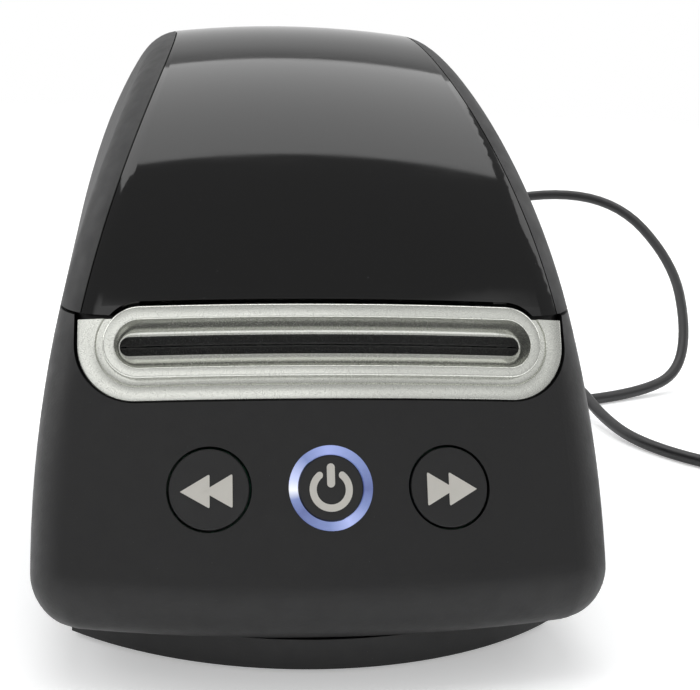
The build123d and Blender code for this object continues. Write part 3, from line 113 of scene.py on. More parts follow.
class Shader:
    """A material's node tree with short calls for the nodes that the finishes share."""

    def __init__(self, name: str) -> None:
        """Starts a material with a Principled shader and object coordinates.

        Args:
            name: Name of the material.
        """
        self.material = bpy.data.materials.new(name)
        self.material.use_nodes = True
        self.nodes = self.material.node_tree.nodes
        self.links = self.material.node_tree.links
        self.nodes.clear()
        self.output = self.nodes.new("ShaderNodeOutputMaterial")
        self.principled = self.nodes.new("ShaderNodeBsdfPrincipled")
        self.links.new(self.principled.outputs["BSDF"], self.output.inputs["Surface"])
        self.coords = self.nodes.new("ShaderNodeTexCoord").outputs["Object"]
        self.height: bpy.types.NodeSocket | None = None

    def set(self, **values: object) -> None:
        """Sets sockets of the Principled shader; underscores stand for spaces."""
        for key, value in values.items():
            self.principled.inputs[key.replace("_", " ")].default_value = value

    def stretched(self, scale: Point, centre: Point = (0.0, 0.0, 0.0)) -> bpy.types.NodeSocket:
        """Object coordinates centred on a point and scaled.

        Args:
            scale: Scale along each axis.
            centre: Point in the row frame that becomes the origin.

        Returns:
            The vector socket.
        """
        node = self.nodes.new("ShaderNodeMapping")
        node.inputs["Location"].default_value = [-c * s for c, s in zip(centre, scale)]
        node.inputs["Scale"].default_value = scale
        self.links.new(self.coords, node.inputs["Vector"])
        return node.outputs["Vector"]

    def noise(
        self, scale: float, detail: float = 3.0, rough: float = 0.55,
        vector: bpy.types.NodeSocket | None = None,
    ) -> bpy.types.NodeSocket:
        """Noise value from 0 to 1 at a scale per metre."""
        node = self.nodes.new("ShaderNodeTexNoise")
        node.inputs["Scale"].default_value = scale
        node.inputs["Detail"].default_value = detail
        node.inputs["Roughness"].default_value = rough
        self.links.new(vector or self.coords, node.inputs["Vector"])
        return node.outputs["Fac"]

    def cells(self, scale: float, vector: bpy.types.NodeSocket | None = None) -> bpy.types.NodeSocket:
        """Distance to the nearest cell point at a scale per metre."""
        node = self.nodes.new("ShaderNodeTexVoronoi")
        node.inputs["Scale"].default_value = scale
        self.links.new(vector or self.coords, node.inputs["Vector"])
        return node.outputs["Distance"]

    def waves(self, scale: float, vector: bpy.types.NodeSocket, rings: bool = False) -> bpy.types.NodeSocket:
        """Bands, or rings round the X axis, at a scale per metre."""
        node = self.nodes.new("ShaderNodeTexWave")
        node.wave_type = "RINGS" if rings else "BANDS"
        if rings:
            node.rings_direction = "X"
        node.inputs["Scale"].default_value = scale
        self.links.new(vector, node.inputs["Vector"])
        return node.outputs["Fac"]

    def spread(
        self, value: bpy.types.NodeSocket, low: float, high: float, start: float = 0.0, end: float = 1.0
    ) -> bpy.types.NodeSocket:
        """Maps a value's range onto another, clamped."""
        node = self.nodes.new("ShaderNodeMapRange")
        node.inputs["From Min"].default_value = start
        node.inputs["From Max"].default_value = end
        node.inputs["To Min"].default_value = low
        node.inputs["To Max"].default_value = high
        self.links.new(value, node.inputs["Value"])
        return node.outputs["Result"]

    def blend(self, value: bpy.types.NodeSocket, first: Colour, second: Colour) -> bpy.types.NodeSocket:
        """Mixes two colours by a value."""
        node = self.nodes.new("ShaderNodeMix")
        node.data_type = "RGBA"
        node.inputs["A"].default_value = (*first, 1.0)
        node.inputs["B"].default_value = (*second, 1.0)
        self.links.new(value, node.inputs["Factor"])
        return next(o for o in node.outputs if o.type == "RGBA")

    def over(
        self, value: bpy.types.NodeSocket, under: bpy.types.NodeSocket, top: Colour
    ) -> bpy.types.NodeSocket:
        """Mixes a fixed colour over a colour socket by a value."""
        mixed = self.blend(value, (0.0, 0.0, 0.0), top)
        self.links.new(under, mixed.node.inputs["A"])
        return mixed

    def use(self, socket: bpy.types.NodeSocket, name: str) -> None:
        """Feeds a socket of the Principled shader."""
        self.links.new(socket, self.principled.inputs[name])

    def bump(self, height: bpy.types.NodeSocket, depth: float, strength: float = 1.0) -> None:
        """Adds a bump of a depth in metres on top of any earlier one."""
        node = self.nodes.new("ShaderNodeBump")
        node.inputs["Distance"].default_value = depth
        node.inputs["Strength"].default_value = strength
        self.links.new(height, node.inputs["Height"])
        if self.height is not None:
            self.links.new(self.height, node.inputs["Normal"])
        self.height = node.outputs["Normal"]
        self.links.new(self.height, self.principled.inputs["Normal"])


# Finishes


@dataclass(frozen=True)
class Finish:
    """A plain moulded finish: colour with slight mottling, roughness that varies, fine grain."""

    name: str
    colour: Colour
    roughness: float = 0.5
    metallic: float = 0.0
    grain: float = 1800.0
    depth: float = 0.00001
    mottle: float = 0.12
    mottle_scale: float = 90.0
    wear: float = 0.06
    wear_scale: float = 240.0

    def shade(self, shader: Shader) -> None:
        """Builds the nodes of the finish.

        Args:
            shader: The material's node tree.
        """
        shader.set(Metallic=self.metallic)
        lighter = tuple(min(1.0, c * (1 + self.mottle)) for c in self.colour)
        darker = tuple(c * (1 - self.mottle) for c in self.colour)
        shader.use(shader.blend(shader.noise(self.mottle_scale), darker, lighter), "Base Color")
        low, high = self.roughness - self.wear, self.roughness + self.wear
        shader.use(shader.spread(shader.noise(self.wear_scale, 4.0), low, high, 0.3, 0.7), "Roughness")
        shader.bump(shader.noise(self.grain, 2.0, 0.6), self.depth)

    def make(self) -> bpy.types.Material:
        """Returns the finished material."""
        shader = Shader(self.name)
        self.shade(shader)
        return shader.material


@dataclass(frozen=True)
class SparkTexture(Finish):
    """Dark moulding with the fine pitted texture of a spark-eroded tool."""

    pits: float = 1500.0
    pit_depth: float = 0.00003
    dust_scale: float = 420.0
    dust_size: float = 0.045
    dust_colour: Colour = (0.2, 0.2, 0.2)

    def shade(self, shader: Shader) -> None:
        """Adds rounded pits and faint pale dust to the moulded finish."""
        super().shade(shader)
        shader.set(Specular_IOR_Level=0.45)
        shader.bump(shader.cells(self.pits), self.pit_depth, 0.55)
        dust = shader.spread(shader.cells(self.dust_scale), 0.35, 0.0, 0.0, self.dust_size)
        base = shader.principled.inputs["Base Color"].links[0].from_socket
        shader.use(shader.over(dust, base, self.dust_colour), "Base Color")


@dataclass(frozen=True)
class Polish(Finish):
    """Polished black moulding with faint wipe marks and a few dust specks."""

    mottle_scale: float = 60.0
    speck_scale: float = 260.0
    speck_size: float = 0.035
    speck_colour: Colour = (0.22, 0.22, 0.23)
    wipe_scale: float = 40.0
    warp_scale: float = 26.0
    warp_depth: float = 0.00005

    def shade(self, shader: Shader) -> None:
        """Builds the gloss, its wipe marks and specks."""
        lighter = tuple(c * 1.3 for c in self.colour)
        base = shader.blend(shader.noise(self.mottle_scale), self.colour, lighter)
        specks = shader.spread(shader.cells(self.speck_scale), 0.5, 0.0, 0.0, self.speck_size)
        shader.use(shader.over(specks, base, self.speck_colour), "Base Color")
        wipes = shader.noise(self.wipe_scale, 5.0, 0.6, shader.stretched((1.0, 6.0, 6.0)))
        shader.use(shader.spread(wipes, self.roughness, self.roughness + self.wear, 0.45, 0.75), "Roughness")
        shader.bump(shader.noise(self.warp_scale, 1.0), self.warp_depth, 0.5)


@dataclass(frozen=True)
class SilverPaint(Finish):
    """Satin silver paint with metal flake under a thin clear coat."""

    flake_scale: float = 5200.0
    peel_scale: float = 900.0
    peel_depth: float = 0.000006

    def shade(self, shader: Shader) -> None:
        """Builds flake, shade and fine orange peel."""
        flake = shader.cells(self.flake_scale)
        pale = tuple(min(1.0, c * 1.16) for c in self.colour)
        dark = tuple(c * 0.86 for c in self.colour)
        shader.use(shader.blend(shader.spread(flake, 0.0, 1.0, 0.1, 0.8), pale, dark), "Base Color")
        shader.use(shader.spread(flake, self.roughness - 0.05, self.roughness + 0.07), "Roughness")
        shader.set(Metallic=self.metallic, Coat_Weight=0.25, Coat_Roughness=0.12)
        shader.bump(shader.noise(self.peel_scale, 2.0), self.peel_depth)


@dataclass(frozen=True)
class Brushed(Finish):
    """Sheet or turned metal with fine parallel brush marks."""

    along: Axis = Axis.X
    along_scale: float = 60.0
    across_scale: float = 1800.0
    mark_depth: float = 0.000008

    def shade(self, shader: Shader) -> None:
        """Builds long marks along one axis."""
        scale = tuple(self.along_scale if part else self.across_scale for part in self.along.value)
        marks = shader.noise(1.0, 4.0, 0.65, shader.stretched(scale))
        dark = tuple(c * 0.8 for c in self.colour)
        shader.use(shader.blend(marks, dark, self.colour), "Base Color")
        shader.use(shader.spread(marks, self.roughness + 0.1, self.roughness - 0.08), "Roughness")
        shader.set(Metallic=1.0)
        shader.bump(marks, self.mark_depth, 0.6)


@dataclass(frozen=True)
class Felted(Finish):
    """Short black fibre pad with pale flecks."""

    fleck_scale: float = 2600.0
    fibre_scale: float = 1700.0
    fibre_depth: float = 0.00025

    def shade(self, shader: Shader) -> None:
        """Builds flecked fibre with a soft edge sheen."""
        flecks = shader.spread(shader.noise(self.fleck_scale, 4.0, 0.7), 0.0, 1.0, 0.56, 0.7)
        pale = tuple(min(1.0, c * 7.0) for c in self.colour)
        shader.use(shader.blend(flecks, self.colour, pale), "Base Color")
        shader.set(Roughness=0.95, Sheen_Weight=0.4)
        shader.bump(shader.noise(self.fibre_scale, 5.0, 0.75), self.fibre_depth)


# Power ring's emission tones: the blues are its glow, and the white, pale and bright tones are painted
# highlights at two places round the ring.
RING_HIGHLIGHT_WHITE = (0.95, 0.97, 1.0)
RING_HIGHLIGHT_PALE = (0.6, 0.66, 0.95)
RING_HIGHLIGHT_BRIGHT = (0.4, 0.46, 0.8)
RING_SOFT = (0.3, 0.36, 0.7)
RING_BLUE = (0.15, 0.2, 0.42)
RING_DEEP = (0.06, 0.08, 0.24)
RING_GLOW_AND_HIGHLIGHTS = (
    (0.04, RING_BLUE), (0.1, RING_DEEP), (0.24, RING_BLUE), (0.33, RING_HIGHLIGHT_BRIGHT), (0.43, RING_BLUE),
    (0.5, RING_DEEP), (0.62, RING_BLUE), (0.76, RING_SOFT), (0.86, RING_BLUE), (0.96, RING_HIGHLIGHT_PALE),
)


@dataclass(frozen=True)
class LitRing(Finish):
    """Clear ring lit from behind: a cool blue glow, with painted highlights in white at two places."""

    glow: float = 0.95
    cloud_scale: float = 700.0
    cloud_depth: float = 0.00002

    def around(self, shader: Shader) -> bpy.types.NodeSocket:
        """Colour of the glow by the place round the ring, with its painted highlights.

        Args:
            shader: The material's node tree.

        Returns:
            The colour socket.
        """
        about = shader.nodes.new("ShaderNodeMapping")
        about.vector_type = "TEXTURE"
        about.inputs["Location"].default_value = FACE.place(0.0, -FACE.button_drop, 0.0)
        about.inputs["Rotation"].default_value = (pi / 2 - FACE.lean, 0.0, 0.0)
        shader.links.new(shader.coords, about.inputs["Vector"])
        turn = shader.nodes.new("ShaderNodeTexGradient")
        turn.gradient_type = "RADIAL"
        shader.links.new(about.outputs["Vector"], turn.inputs["Vector"])
        ramp = shader.nodes.new("ShaderNodeValToRGB")
        shader.links.new(turn.outputs["Fac"], ramp.inputs["Fac"])
        places = ramp.color_ramp.elements
        # The ramp's white ends are one painted highlight, and the bright stop a third of the way round is the
        # other.
        for end in places:
            end.color = (*RING_HIGHLIGHT_WHITE, 1.0)
        for at, tone in RING_GLOW_AND_HIGHLIGHTS:
            places.new(at).color = (*tone, 1.0)
        return ramp.outputs["Color"]

    def shade(self, shader: Shader) -> None:
        """Builds the clear, lit plastic, whose emission carries the painted highlights."""
        cloud = shader.noise(self.cloud_scale, 3.0)
        shader.use(self.around(shader), "Emission Color")
        shader.use(shader.blend(cloud, tuple(c * 0.6 for c in self.colour), self.colour), "Base Color")
        shader.use(shader.spread(cloud, 0.25, 0.4), "Roughness")
        shader.set(Emission_Strength=self.glow)
        shader.bump(cloud, self.cloud_depth, 0.5)


@dataclass(frozen=True)
class Circuit(Finish):
    """Green circuit board with copper tracks under the mask."""

    track_scale: float = 260.0
    track_height: float = 0.00003
    pad_scale: float = 330.0
    pad_colour: Colour = (0.72, 0.7, 0.62)

    def shade(self, shader: Shader) -> None:
        """Builds tracks from stepped cells, and small pads."""
        node = shader.nodes.new("ShaderNodeTexVoronoi")
        node.feature = "DISTANCE_TO_EDGE"
        node.distance = "MANHATTAN"
        node.inputs["Scale"].default_value = self.track_scale
        shader.links.new(shader.coords, node.inputs["Vector"])
        track = shader.spread(node.outputs["Distance"], 1.0, 0.0, 0.05, 0.09)
        lighter = tuple(min(1.0, c * 1.9) for c in self.colour)
        board = shader.blend(track, self.colour, lighter)
        pads = shader.spread(shader.cells(self.pad_scale), 1.0, 0.0, 0.1, 0.13)
        shader.use(shader.over(pads, board, self.pad_colour), "Base Color")
        shader.use(shader.spread(pads, 0.38, 0.25), "Roughness")
        shader.bump(track, self.track_height, 0.5)


@dataclass(frozen=True)
class Paper(Finish):
    """Label stock: smooth faces, and fine wound layers round the roll's axis."""

    centre: Point = (0.0, 38.0 * MM, 66.0 * MM)
    layer_scale: float = 900.0
    layer_depth: float = 0.00002
    fibre_scale: float = 1400.0
    edge_colour: Colour = (0.55, 0.5, 0.4)

    def shade(self, shader: Shader) -> None:
        """Builds fibres and the layers that show at the roll's ends."""
        about = shader.stretched((1.0, 1.0, 1.0), self.centre)
        layers = shader.waves(self.layer_scale, about, rings=True)
        fibres = shader.noise(self.fibre_scale, 5.0, 0.7)
        shade = shader.blend(fibres, tuple(c * 0.93 for c in self.colour), self.colour)
        line = shader.spread(layers, 0.22, 0.0, 0.0, 0.35)
        shader.use(shader.over(line, shade, self.edge_colour), "Base Color")
        shader.use(shader.spread(fibres, self.roughness - 0.05, self.roughness + 0.08), "Roughness")
        shader.bump(layers, self.layer_depth, 0.4)


@dataclass(frozen=True)
class Jacket(Finish):
    """Lead's vinyl jacket: satin, with a slight ripple across its surface."""

    ripple_scale: float = 420.0
    ripple_depth: float = 0.00004

    def shade(self, shader: Shader) -> None:
        """Adds the ripple to the moulded finish."""
        super().shade(shader)
        shader.bump(shader.noise(self.ripple_scale, 2.0), self.ripple_depth, 0.5)


BODY = SparkTexture("body_charcoal", (0.009, 0.009, 0.0093), 0.5, depth=0.000012)
BUTTON = SparkTexture("button_black", (0.013, 0.013, 0.0135), 0.46, depth=0.00001, pits=1900.0)
PANEL = Polish("panel_gloss", (0.004, 0.004, 0.0041), 0.07)
INNER = Finish("inner_black", (0.0085, 0.0085, 0.009), 0.56)
SILVER = SilverPaint("silver_paint", (0.74, 0.75, 0.7), 0.24, 0.85)
FELT = Felted("slot_felt", (0.012, 0.012, 0.012))
STEEL = Brushed("sheet_steel", (0.6, 0.6, 0.59), 0.32)
SHAFT_STEEL = Brushed("turned_steel", (0.66, 0.66, 0.66), 0.24)
TEAR_STEEL = Brushed("tear_steel", (0.7, 0.7, 0.7), 0.26)
RING = LitRing("light_ring", (0.13, 0.16, 0.27))
BOARD = Circuit("board_green", (0.012, 0.075, 0.03))
CHIPS = Finish("component_black", (0.02, 0.02, 0.021), 0.42, grain=2600.0)
RUBBER = Finish("black_rubber", (0.02, 0.02, 0.02), 0.75, grain=1300.0, depth=0.00003)
PAPER = Paper("label_paper", (0.86, 0.86, 0.84), 0.62)
CARD = Paper("core_card", (0.42, 0.3, 0.19), 0.8)
BACKING = Paper("backing_paper", (0.78, 0.72, 0.52), 0.35)
GREY = Finish("spool_grey", (0.2, 0.21, 0.22), 0.42)
NYLON = Finish("gear_nylon", (0.78, 0.77, 0.71), 0.38, grain=1100.0)
CERAMIC = Finish("head_ceramic", (0.62, 0.6, 0.55), 0.2, grain=2500.0, depth=0.000004)
ALUMINIUM = Brushed("cast_aluminium", (0.72, 0.73, 0.74), 0.34)
MOTOR = Brushed("motor_plate", (0.5, 0.5, 0.49), 0.36, along=Axis.Y)
JACKET = Jacket("lead_jacket", (0.014, 0.014, 0.015), 0.42, depth=0.00001)
GRIP = SparkTexture("plug_black", (0.02, 0.02, 0.021), 0.5)
SYMBOL = Finish("symbol_grey", (0.66, 0.64, 0.59), 0.5, grain=2400.0, mottle=0.05)


NODE_FINISH: dict[Finish, tuple[str, ...]] = {
    BODY: ("body_shell", "base_tray"),
    BUTTON: ("button_rewind", "button_power", "button_forward"),
    PANEL: ("lid_panel",),
    INNER: ("lid_frame", "inner_tray"),
    SILVER: ("faceplate",),
    FELT: ("slot_felt",),
    STEEL: ("mechanism_frame", "head_spring"),
    SHAFT_STEEL: (
        "button_board_screws", "base_screws", "hinge_pins", "mechanism_screws", "platen_shaft",
        "idler_pin", "motor_shaft", "lever_shaft", "main_board_screws", "usb_socket", "far_plug_shell",
    ),
    TEAR_STEEL: ("tear_bar",),
    RING: ("power_ring",),
    BOARD: ("button_board", "main_board"),
    CHIPS: ("button_switches", "gap_sensor", "board_parts", "power_socket"),
    RUBBER: ("rubber_feet", "platen_rubber", "cord_boot"),
    PAPER: ("label_roll",),
    CARD: ("roll_core",),
    BACKING: ("label_web",),
    GREY: ("spool_core", "spool_guide", "release_lever"),
    NYLON: ("platen_bushes", "platen_gear", "idler_gear", "motor_pinion"),
    CERAMIC: ("print_head",),
    ALUMINIUM: ("head_carrier",),
    MOTOR: ("motor_body",),
    JACKET: ("cord_lead", "cord_coil", "cord_tail"),
    GRIP: ("cord_plug", "far_plug"),
}


class Paintbox:
    """Makes each finish once and hands out its material."""

    def __init__(self) -> None:
        """Starts with no materials made."""
        self.made: dict[str, bpy.types.Material] = {}

    def get(self, finish: Finish) -> bpy.types.Material:
        """Returns the material of a finish, made on first use."""
        if finish.name not in self.made:
            self.made[finish.name] = finish.make()
        return self.made[finish.name]

    def dress_nodes(self) -> None:
        """Gives every carried-over part its finish."""
        for finish, nodes in NODE_FINISH.items():
            for node in nodes:
                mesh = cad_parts[node].data
                mesh.materials.clear()
                mesh.materials.append(self.get(finish))
            log.info("%s on %s", finish.name, ", ".join(nodes))


PAINT = Paintbox()


# Helpers for meshes


class Mesh:
    """Gathers faces in the row frame and turns them into one finished piece."""

    def __init__(self) -> None:
        """Starts with an empty mesh."""
        self.bm = bmesh.new()

    def loop(self, points: Iterable[Vector]) -> list[bmesh.types.BMVert]:
        """Adds points as vertices and returns them."""
        return [self.bm.verts.new(point) for point in points]

    def bridge(
        self, first: list[bmesh.types.BMVert], second: list[bmesh.types.BMVert], closed: bool = True
    ) -> None:
        """Joins two rows of vertices with quads.

        Args:
            first: One row.
            second: Another row of the same length.
            closed: Whether the rows run round to their start.
        """
        count = len(first)
        for i in range(count if closed else count - 1):
            j = (i + 1) % count
            self.bm.faces.new((first[i], first[j], second[j], second[i]))

    def cap(self, row: list[bmesh.types.BMVert]) -> None:
        """Closes a row with one face."""
        self.bm.faces.new(row)

    def data(self, name: str) -> bpy.types.Mesh:
        """Returns the gathered faces as a mesh and lets them go."""
        mesh = bpy.data.meshes.new(name)
        self.bm.to_mesh(mesh)
        self.bm.free()
        return mesh

    def finish(
        self, name: str, paint: Finish, body: str, slot: str, smooth: float = SMOOTH_ANGLE
    ) -> bpy.types.Object:
        """Closes the mesh and hangs it on a body.

        Args:
            name: Name of the piece.
            paint: Finish of the piece.
            body: Body that carries the piece.
            slot: Material slot in the record that the finish belongs to; not used.
            smooth: Angle in degrees up to which edges are shaded smooth.

        Returns:
            The finished object, at the origin.
        """
        bmesh.ops.recalc_face_normals(self.bm, faces=self.bm.faces)
        return settle(bpy.data.objects.new(name, self.data(name)), paint, body, smooth)


def settle(
    piece: bpy.types.Object, paint: Finish, body: str, smooth: float = SMOOTH_ANGLE
) -> bpy.types.Object:
    """Links a mesh piece, gives it its finish and lets it ride on a body.

    Args:
        piece: The mesh object, with its place in its mesh.
        paint: Finish of the piece.
        body: Body that carries the piece.
        smooth: Angle in degrees up to which edges are shaded smooth.

    Returns:
        The same object.
    """
    bpy.context.scene.collection.objects.link(piece)
    piece.data.materials.clear()
    piece.data.materials.append(PAINT.get(paint))
    soften(piece, smooth)
    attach(piece, body)
    log.info("%s rides on %s", piece.name, body)
    return piece


def soften(piece: bpy.types.Object, angle: float) -> None:
    """Shades a piece smooth and marks its sharper edges.

    Args:
        piece: The mesh object.
        angle: Angle in degrees above which an edge stays sharp.
    """
    bm = bmesh.new()
    bm.from_mesh(piece.data)
    for face in bm.faces:
        face.smooth = True
    for edge in bm.edges:
        edge.smooth = len(edge.link_faces) == 2 and edge.calc_face_angle(0.0) < radians(angle)
    bm.to_mesh(piece.data)
    bm.free()


# The studio


@dataclass(frozen=True)
class Lamp:
    """One soft rectangular lamp."""

    name: str
    place: Point
    aim: Point
    size: tuple[float, float]
    power: float

    def build(self) -> None:
        """Makes the lamp and turns it towards its aim."""
        data = bpy.data.lights.new(self.name, "AREA")
        data.shape = "RECTANGLE"
        data.size, data.size_y = self.size
        data.energy = self.power
        lamp = bpy.data.objects.new(self.name, data)
        facing = (Vector(self.aim) - Vector(self.place)).to_track_quat("-Z", "Y")
        lamp.matrix_world = Matrix.Translation(self.place) @ facing.to_matrix().to_4x4()
        bpy.context.scene.collection.objects.link(lamp)


LAMPS = (
    Lamp("left_lamp", (-1.5, 0.35, 0.9), (0.0, 0.0, 0.05), (1.2, 1.2), 9.0),
    Lamp("right_lamp", (1.5, 0.35, 0.9), (0.0, 0.0, 0.05), (1.2, 1.2), 7.0),
    Lamp("top_lamp", (0.0, 0.48, 1.25), (0.0, 0.48, 0.0), (1.5, 1.2), 12.0),
)


@dataclass
class Studio:
    """Camera, a pale floor that fades into white, soft lamps and pale surroundings."""

    eye: Point = (-41.45 * MM, -373.71 * MM, 149.19 * MM)
    azimuth: float = radians(-6.15)
    elevation: float = radians(9.98)
    roll: float = radians(1.59)
    lens: float = 74.64
    shift: tuple[float, float] = (0.0857, -0.1714)
    floor_radius: float = 1.3
    floor_steps: int = 48
    floor_rings: tuple[float, ...] = (0.02, 0.2, 0.5, 0.9)
    paper_dark: Colour = (0.9, 0.905, 0.91)
    paper_light: Colour = (0.93, 0.935, 0.94)
    paper_grain: float = 300.0
    paper_wear: float = 120.0
    fade_start: float = 0.25
    floor_seen: float = 0.34
    ambient: float = 0.36
    backdrop: float = 0.8
    backdrop_top: tuple[float, float] = (0.95, 0.55)
    backdrop_reach: tuple[float, float] = (-0.1, 0.5)
    horizon: tuple[float, float] = (0.02, -0.02)
    front_bright: float = 1.35
    front_dim: float = 0.7
    front_edge: tuple[float, float] = (0.32, 0.12)
    front_reach: tuple[float, float] = (-0.5, -0.66)
    front_low: tuple[float, float] = (0.3, 0.42)
    front_top: tuple[float, float] = (0.64, 0.56)

    def camera(self) -> None:
        """Makes the camera and sets it as the scene's own."""
        a, e, r = self.azimuth, self.elevation, self.roll
        back = Vector((sin(a) * cos(e), -cos(a) * cos(e), sin(e)))
        right = Vector((cos(a), sin(a), 0.0))
        up = back.cross(right)
        tilted = right * cos(r) + up * sin(r)
        upright = up * cos(r) - right * sin(r)
        data = bpy.data.cameras.new("studio_camera")
        data.lens = self.lens
        data.sensor_width = 36.0
        data.shift_x, data.shift_y = self.shift
        data.clip_start = 0.01
        camera = bpy.data.objects.new("studio_camera", data)
        turn = Matrix((tilted, upright, back)).transposed().to_4x4()
        camera.matrix_world = Matrix.Translation(self.eye) @ turn
        bpy.context.scene.collection.objects.link(camera)
        bpy.context.scene.camera = camera

    def floor(self) -> None:
        """Makes the round floor that belongs to the stage."""
        mesh = Mesh()
        turns = [2 * pi * i / self.floor_steps for i in range(self.floor_steps)]
        rings = []
        for radius in (*self.floor_rings, self.floor_radius):
            rings.append(mesh.loop(Vector((radius * cos(a), radius * sin(a), 0.0)) for a in turns))
        for inner, outer in zip(rings, rings[1:]):
            mesh.bridge(inner, outer)
        mesh.cap(rings[0])
        bmesh.ops.recalc_face_normals(mesh.bm, faces=mesh.bm.faces)
        piece = bpy.data.objects.new("studio_floor", mesh.data("studio_floor"))
        bpy.context.scene.collection.objects.link(piece)
        piece.data.materials.append(self.paper())

    def paper(self) -> bpy.types.Material:
        """Returns the floor's pale paper, which fades out with distance."""
        shader = Shader("studio_paper")
        pale = shader.blend(shader.noise(self.paper_grain, 4.0), self.paper_dark, self.paper_light)
        shader.use(pale, "Base Color")
        shader.use(shader.spread(shader.noise(self.paper_wear), 0.7, 0.8), "Roughness")
        shader.set(Specular_IOR_Level=0.2)
        length = shader.nodes.new("ShaderNodeVectorMath")
        length.operation = "LENGTH"
        shader.links.new(shader.coords, length.inputs[0])
        solid = shader.spread(length.outputs["Value"], 1.0, 0.0, self.fade_start, self.floor_radius * 0.95)
        clear = shader.nodes.new("ShaderNodeBsdfTransparent")
        shader.set(Emission_Color=(1.0, 1.0, 1.0, 1.0))
        path = shader.nodes.new("ShaderNodeLightPath")
        seen = shader.nodes.new("ShaderNodeMath")
        seen.operation = "MAXIMUM"
        shader.links.new(path.outputs["Is Camera Ray"], seen.inputs[0])
        shader.links.new(path.outputs["Is Glossy Ray"], seen.inputs[1])
        shader.use(shader.spread(seen.outputs["Value"], 0.0, self.floor_seen), "Emission Strength")
        mix = shader.nodes.new("ShaderNodeMixShader")
        shader.links.new(solid, mix.inputs["Fac"])
        shader.links.new(clear.outputs["BSDF"], mix.inputs[1])
        shader.links.new(shader.principled.outputs["BSDF"], mix.inputs[2])
        shader.links.new(mix.outputs["Shader"], shader.output.inputs["Surface"])
        return shader.material

    def world(self) -> None:
        """Makes soft surroundings: dim above, pale behind and in front, white below and for the camera."""
        world = bpy.data.worlds.new("studio_world")
        bpy.context.scene.world = world
        world.use_nodes = True
        nodes, links = world.node_tree.nodes, world.node_tree.links
        direction = nodes.new("ShaderNodeSeparateXYZ")
        links.new(nodes.new("ShaderNodeTexCoord").outputs["Generated"], direction.inputs["Vector"])
        below = self.step(world, direction.outputs["Z"], self.horizon, 1.0)
        low = self.step(world, direction.outputs["Z"], self.backdrop_top, self.backdrop)
        behind = self.step(world, direction.outputs["Y"], self.backdrop_reach, 1.0)
        pale = self.math(world, "MULTIPLY", low, behind)
        soft = self.math(world, "MAXIMUM", pale, below)
        soft = self.math(world, "MAXIMUM", soft, self.sheet(world, direction))
        path = nodes.new("ShaderNodeLightPath")
        soft = self.math(world, "MAXIMUM", soft, None, self.ambient)
        seen = self.math(world, "MAXIMUM", soft, path.outputs["Is Camera Ray"])
        background = nodes["Background"]
        background.inputs["Color"].default_value = (1.0, 1.0, 1.0, 1.0)
        links.new(seen, background.inputs["Strength"])

    def sheet(self, world: bpy.types.World, direction: bpy.types.Node) -> bpy.types.NodeSocket:
        """Brightness of the large pale sheet that stands in front, to the left.

        Args:
            world: The world whose tree takes the nodes.
            direction: Node that splits the direction into its parts.

        Returns:
            The brightness, soft at the sheet's edges.
        """
        across = self.step(world, direction.outputs["X"], self.front_edge, 1.0)
        across = self.math(world, "MAXIMUM", across, None, self.front_dim)
        ahead = self.step(world, direction.outputs["Y"], self.front_reach, 1.0)
        high = self.step(world, direction.outputs["Z"], self.front_low, 1.0)
        low = self.step(world, direction.outputs["Z"], self.front_top, 1.0)
        tall = self.math(world, "MULTIPLY", high, low)
        tall = self.math(world, "MULTIPLY", tall, None, self.front_bright)
        return self.math(world, "MULTIPLY", self.math(world, "MULTIPLY", across, ahead), tall)

    def step(
        self, world: bpy.types.World, value: bpy.types.NodeSocket, ends: tuple[float, float], high: float
    ) -> bpy.types.NodeSocket:
        """Value that rises smoothly between two ends.

        Args:
            world: The world whose tree takes the node.
            value: The value that is mapped.
            ends: Values at which the result is nothing and full.
            high: The full result.

        Returns:
            The result's socket.
        """
        node = world.node_tree.nodes.new("ShaderNodeMapRange")
        node.interpolation_type = "SMOOTHSTEP"
        node.inputs["From Min"].default_value, node.inputs["From Max"].default_value = ends
        node.inputs["To Max"].default_value = high
        world.node_tree.links.new(value, node.inputs["Value"])
        return node.outputs["Result"]

    def math(
        self, world: bpy.types.World, operation: str, first: bpy.types.NodeSocket,
        second: bpy.types.NodeSocket | None, number: float = 0.0,
    ) -> bpy.types.NodeSocket:
        """Result of one sum on two sockets, or on a socket and a number."""
        node = world.node_tree.nodes.new("ShaderNodeMath")
        node.operation = operation
        node.inputs[1].default_value = number
        world.node_tree.links.new(first, node.inputs[0])
        if second is not None:
            world.node_tree.links.new(second, node.inputs[1])
        return node.outputs["Value"]

    def build(self) -> None:
        """Makes the camera, the floor, the lamps and the world."""
        bpy.context.scene.view_settings.view_transform = "Standard"
        self.camera()
        self.floor()
        for lamp in LAMPS:
            lamp.build()
        self.world()
        log.info("studio made")


# The lead


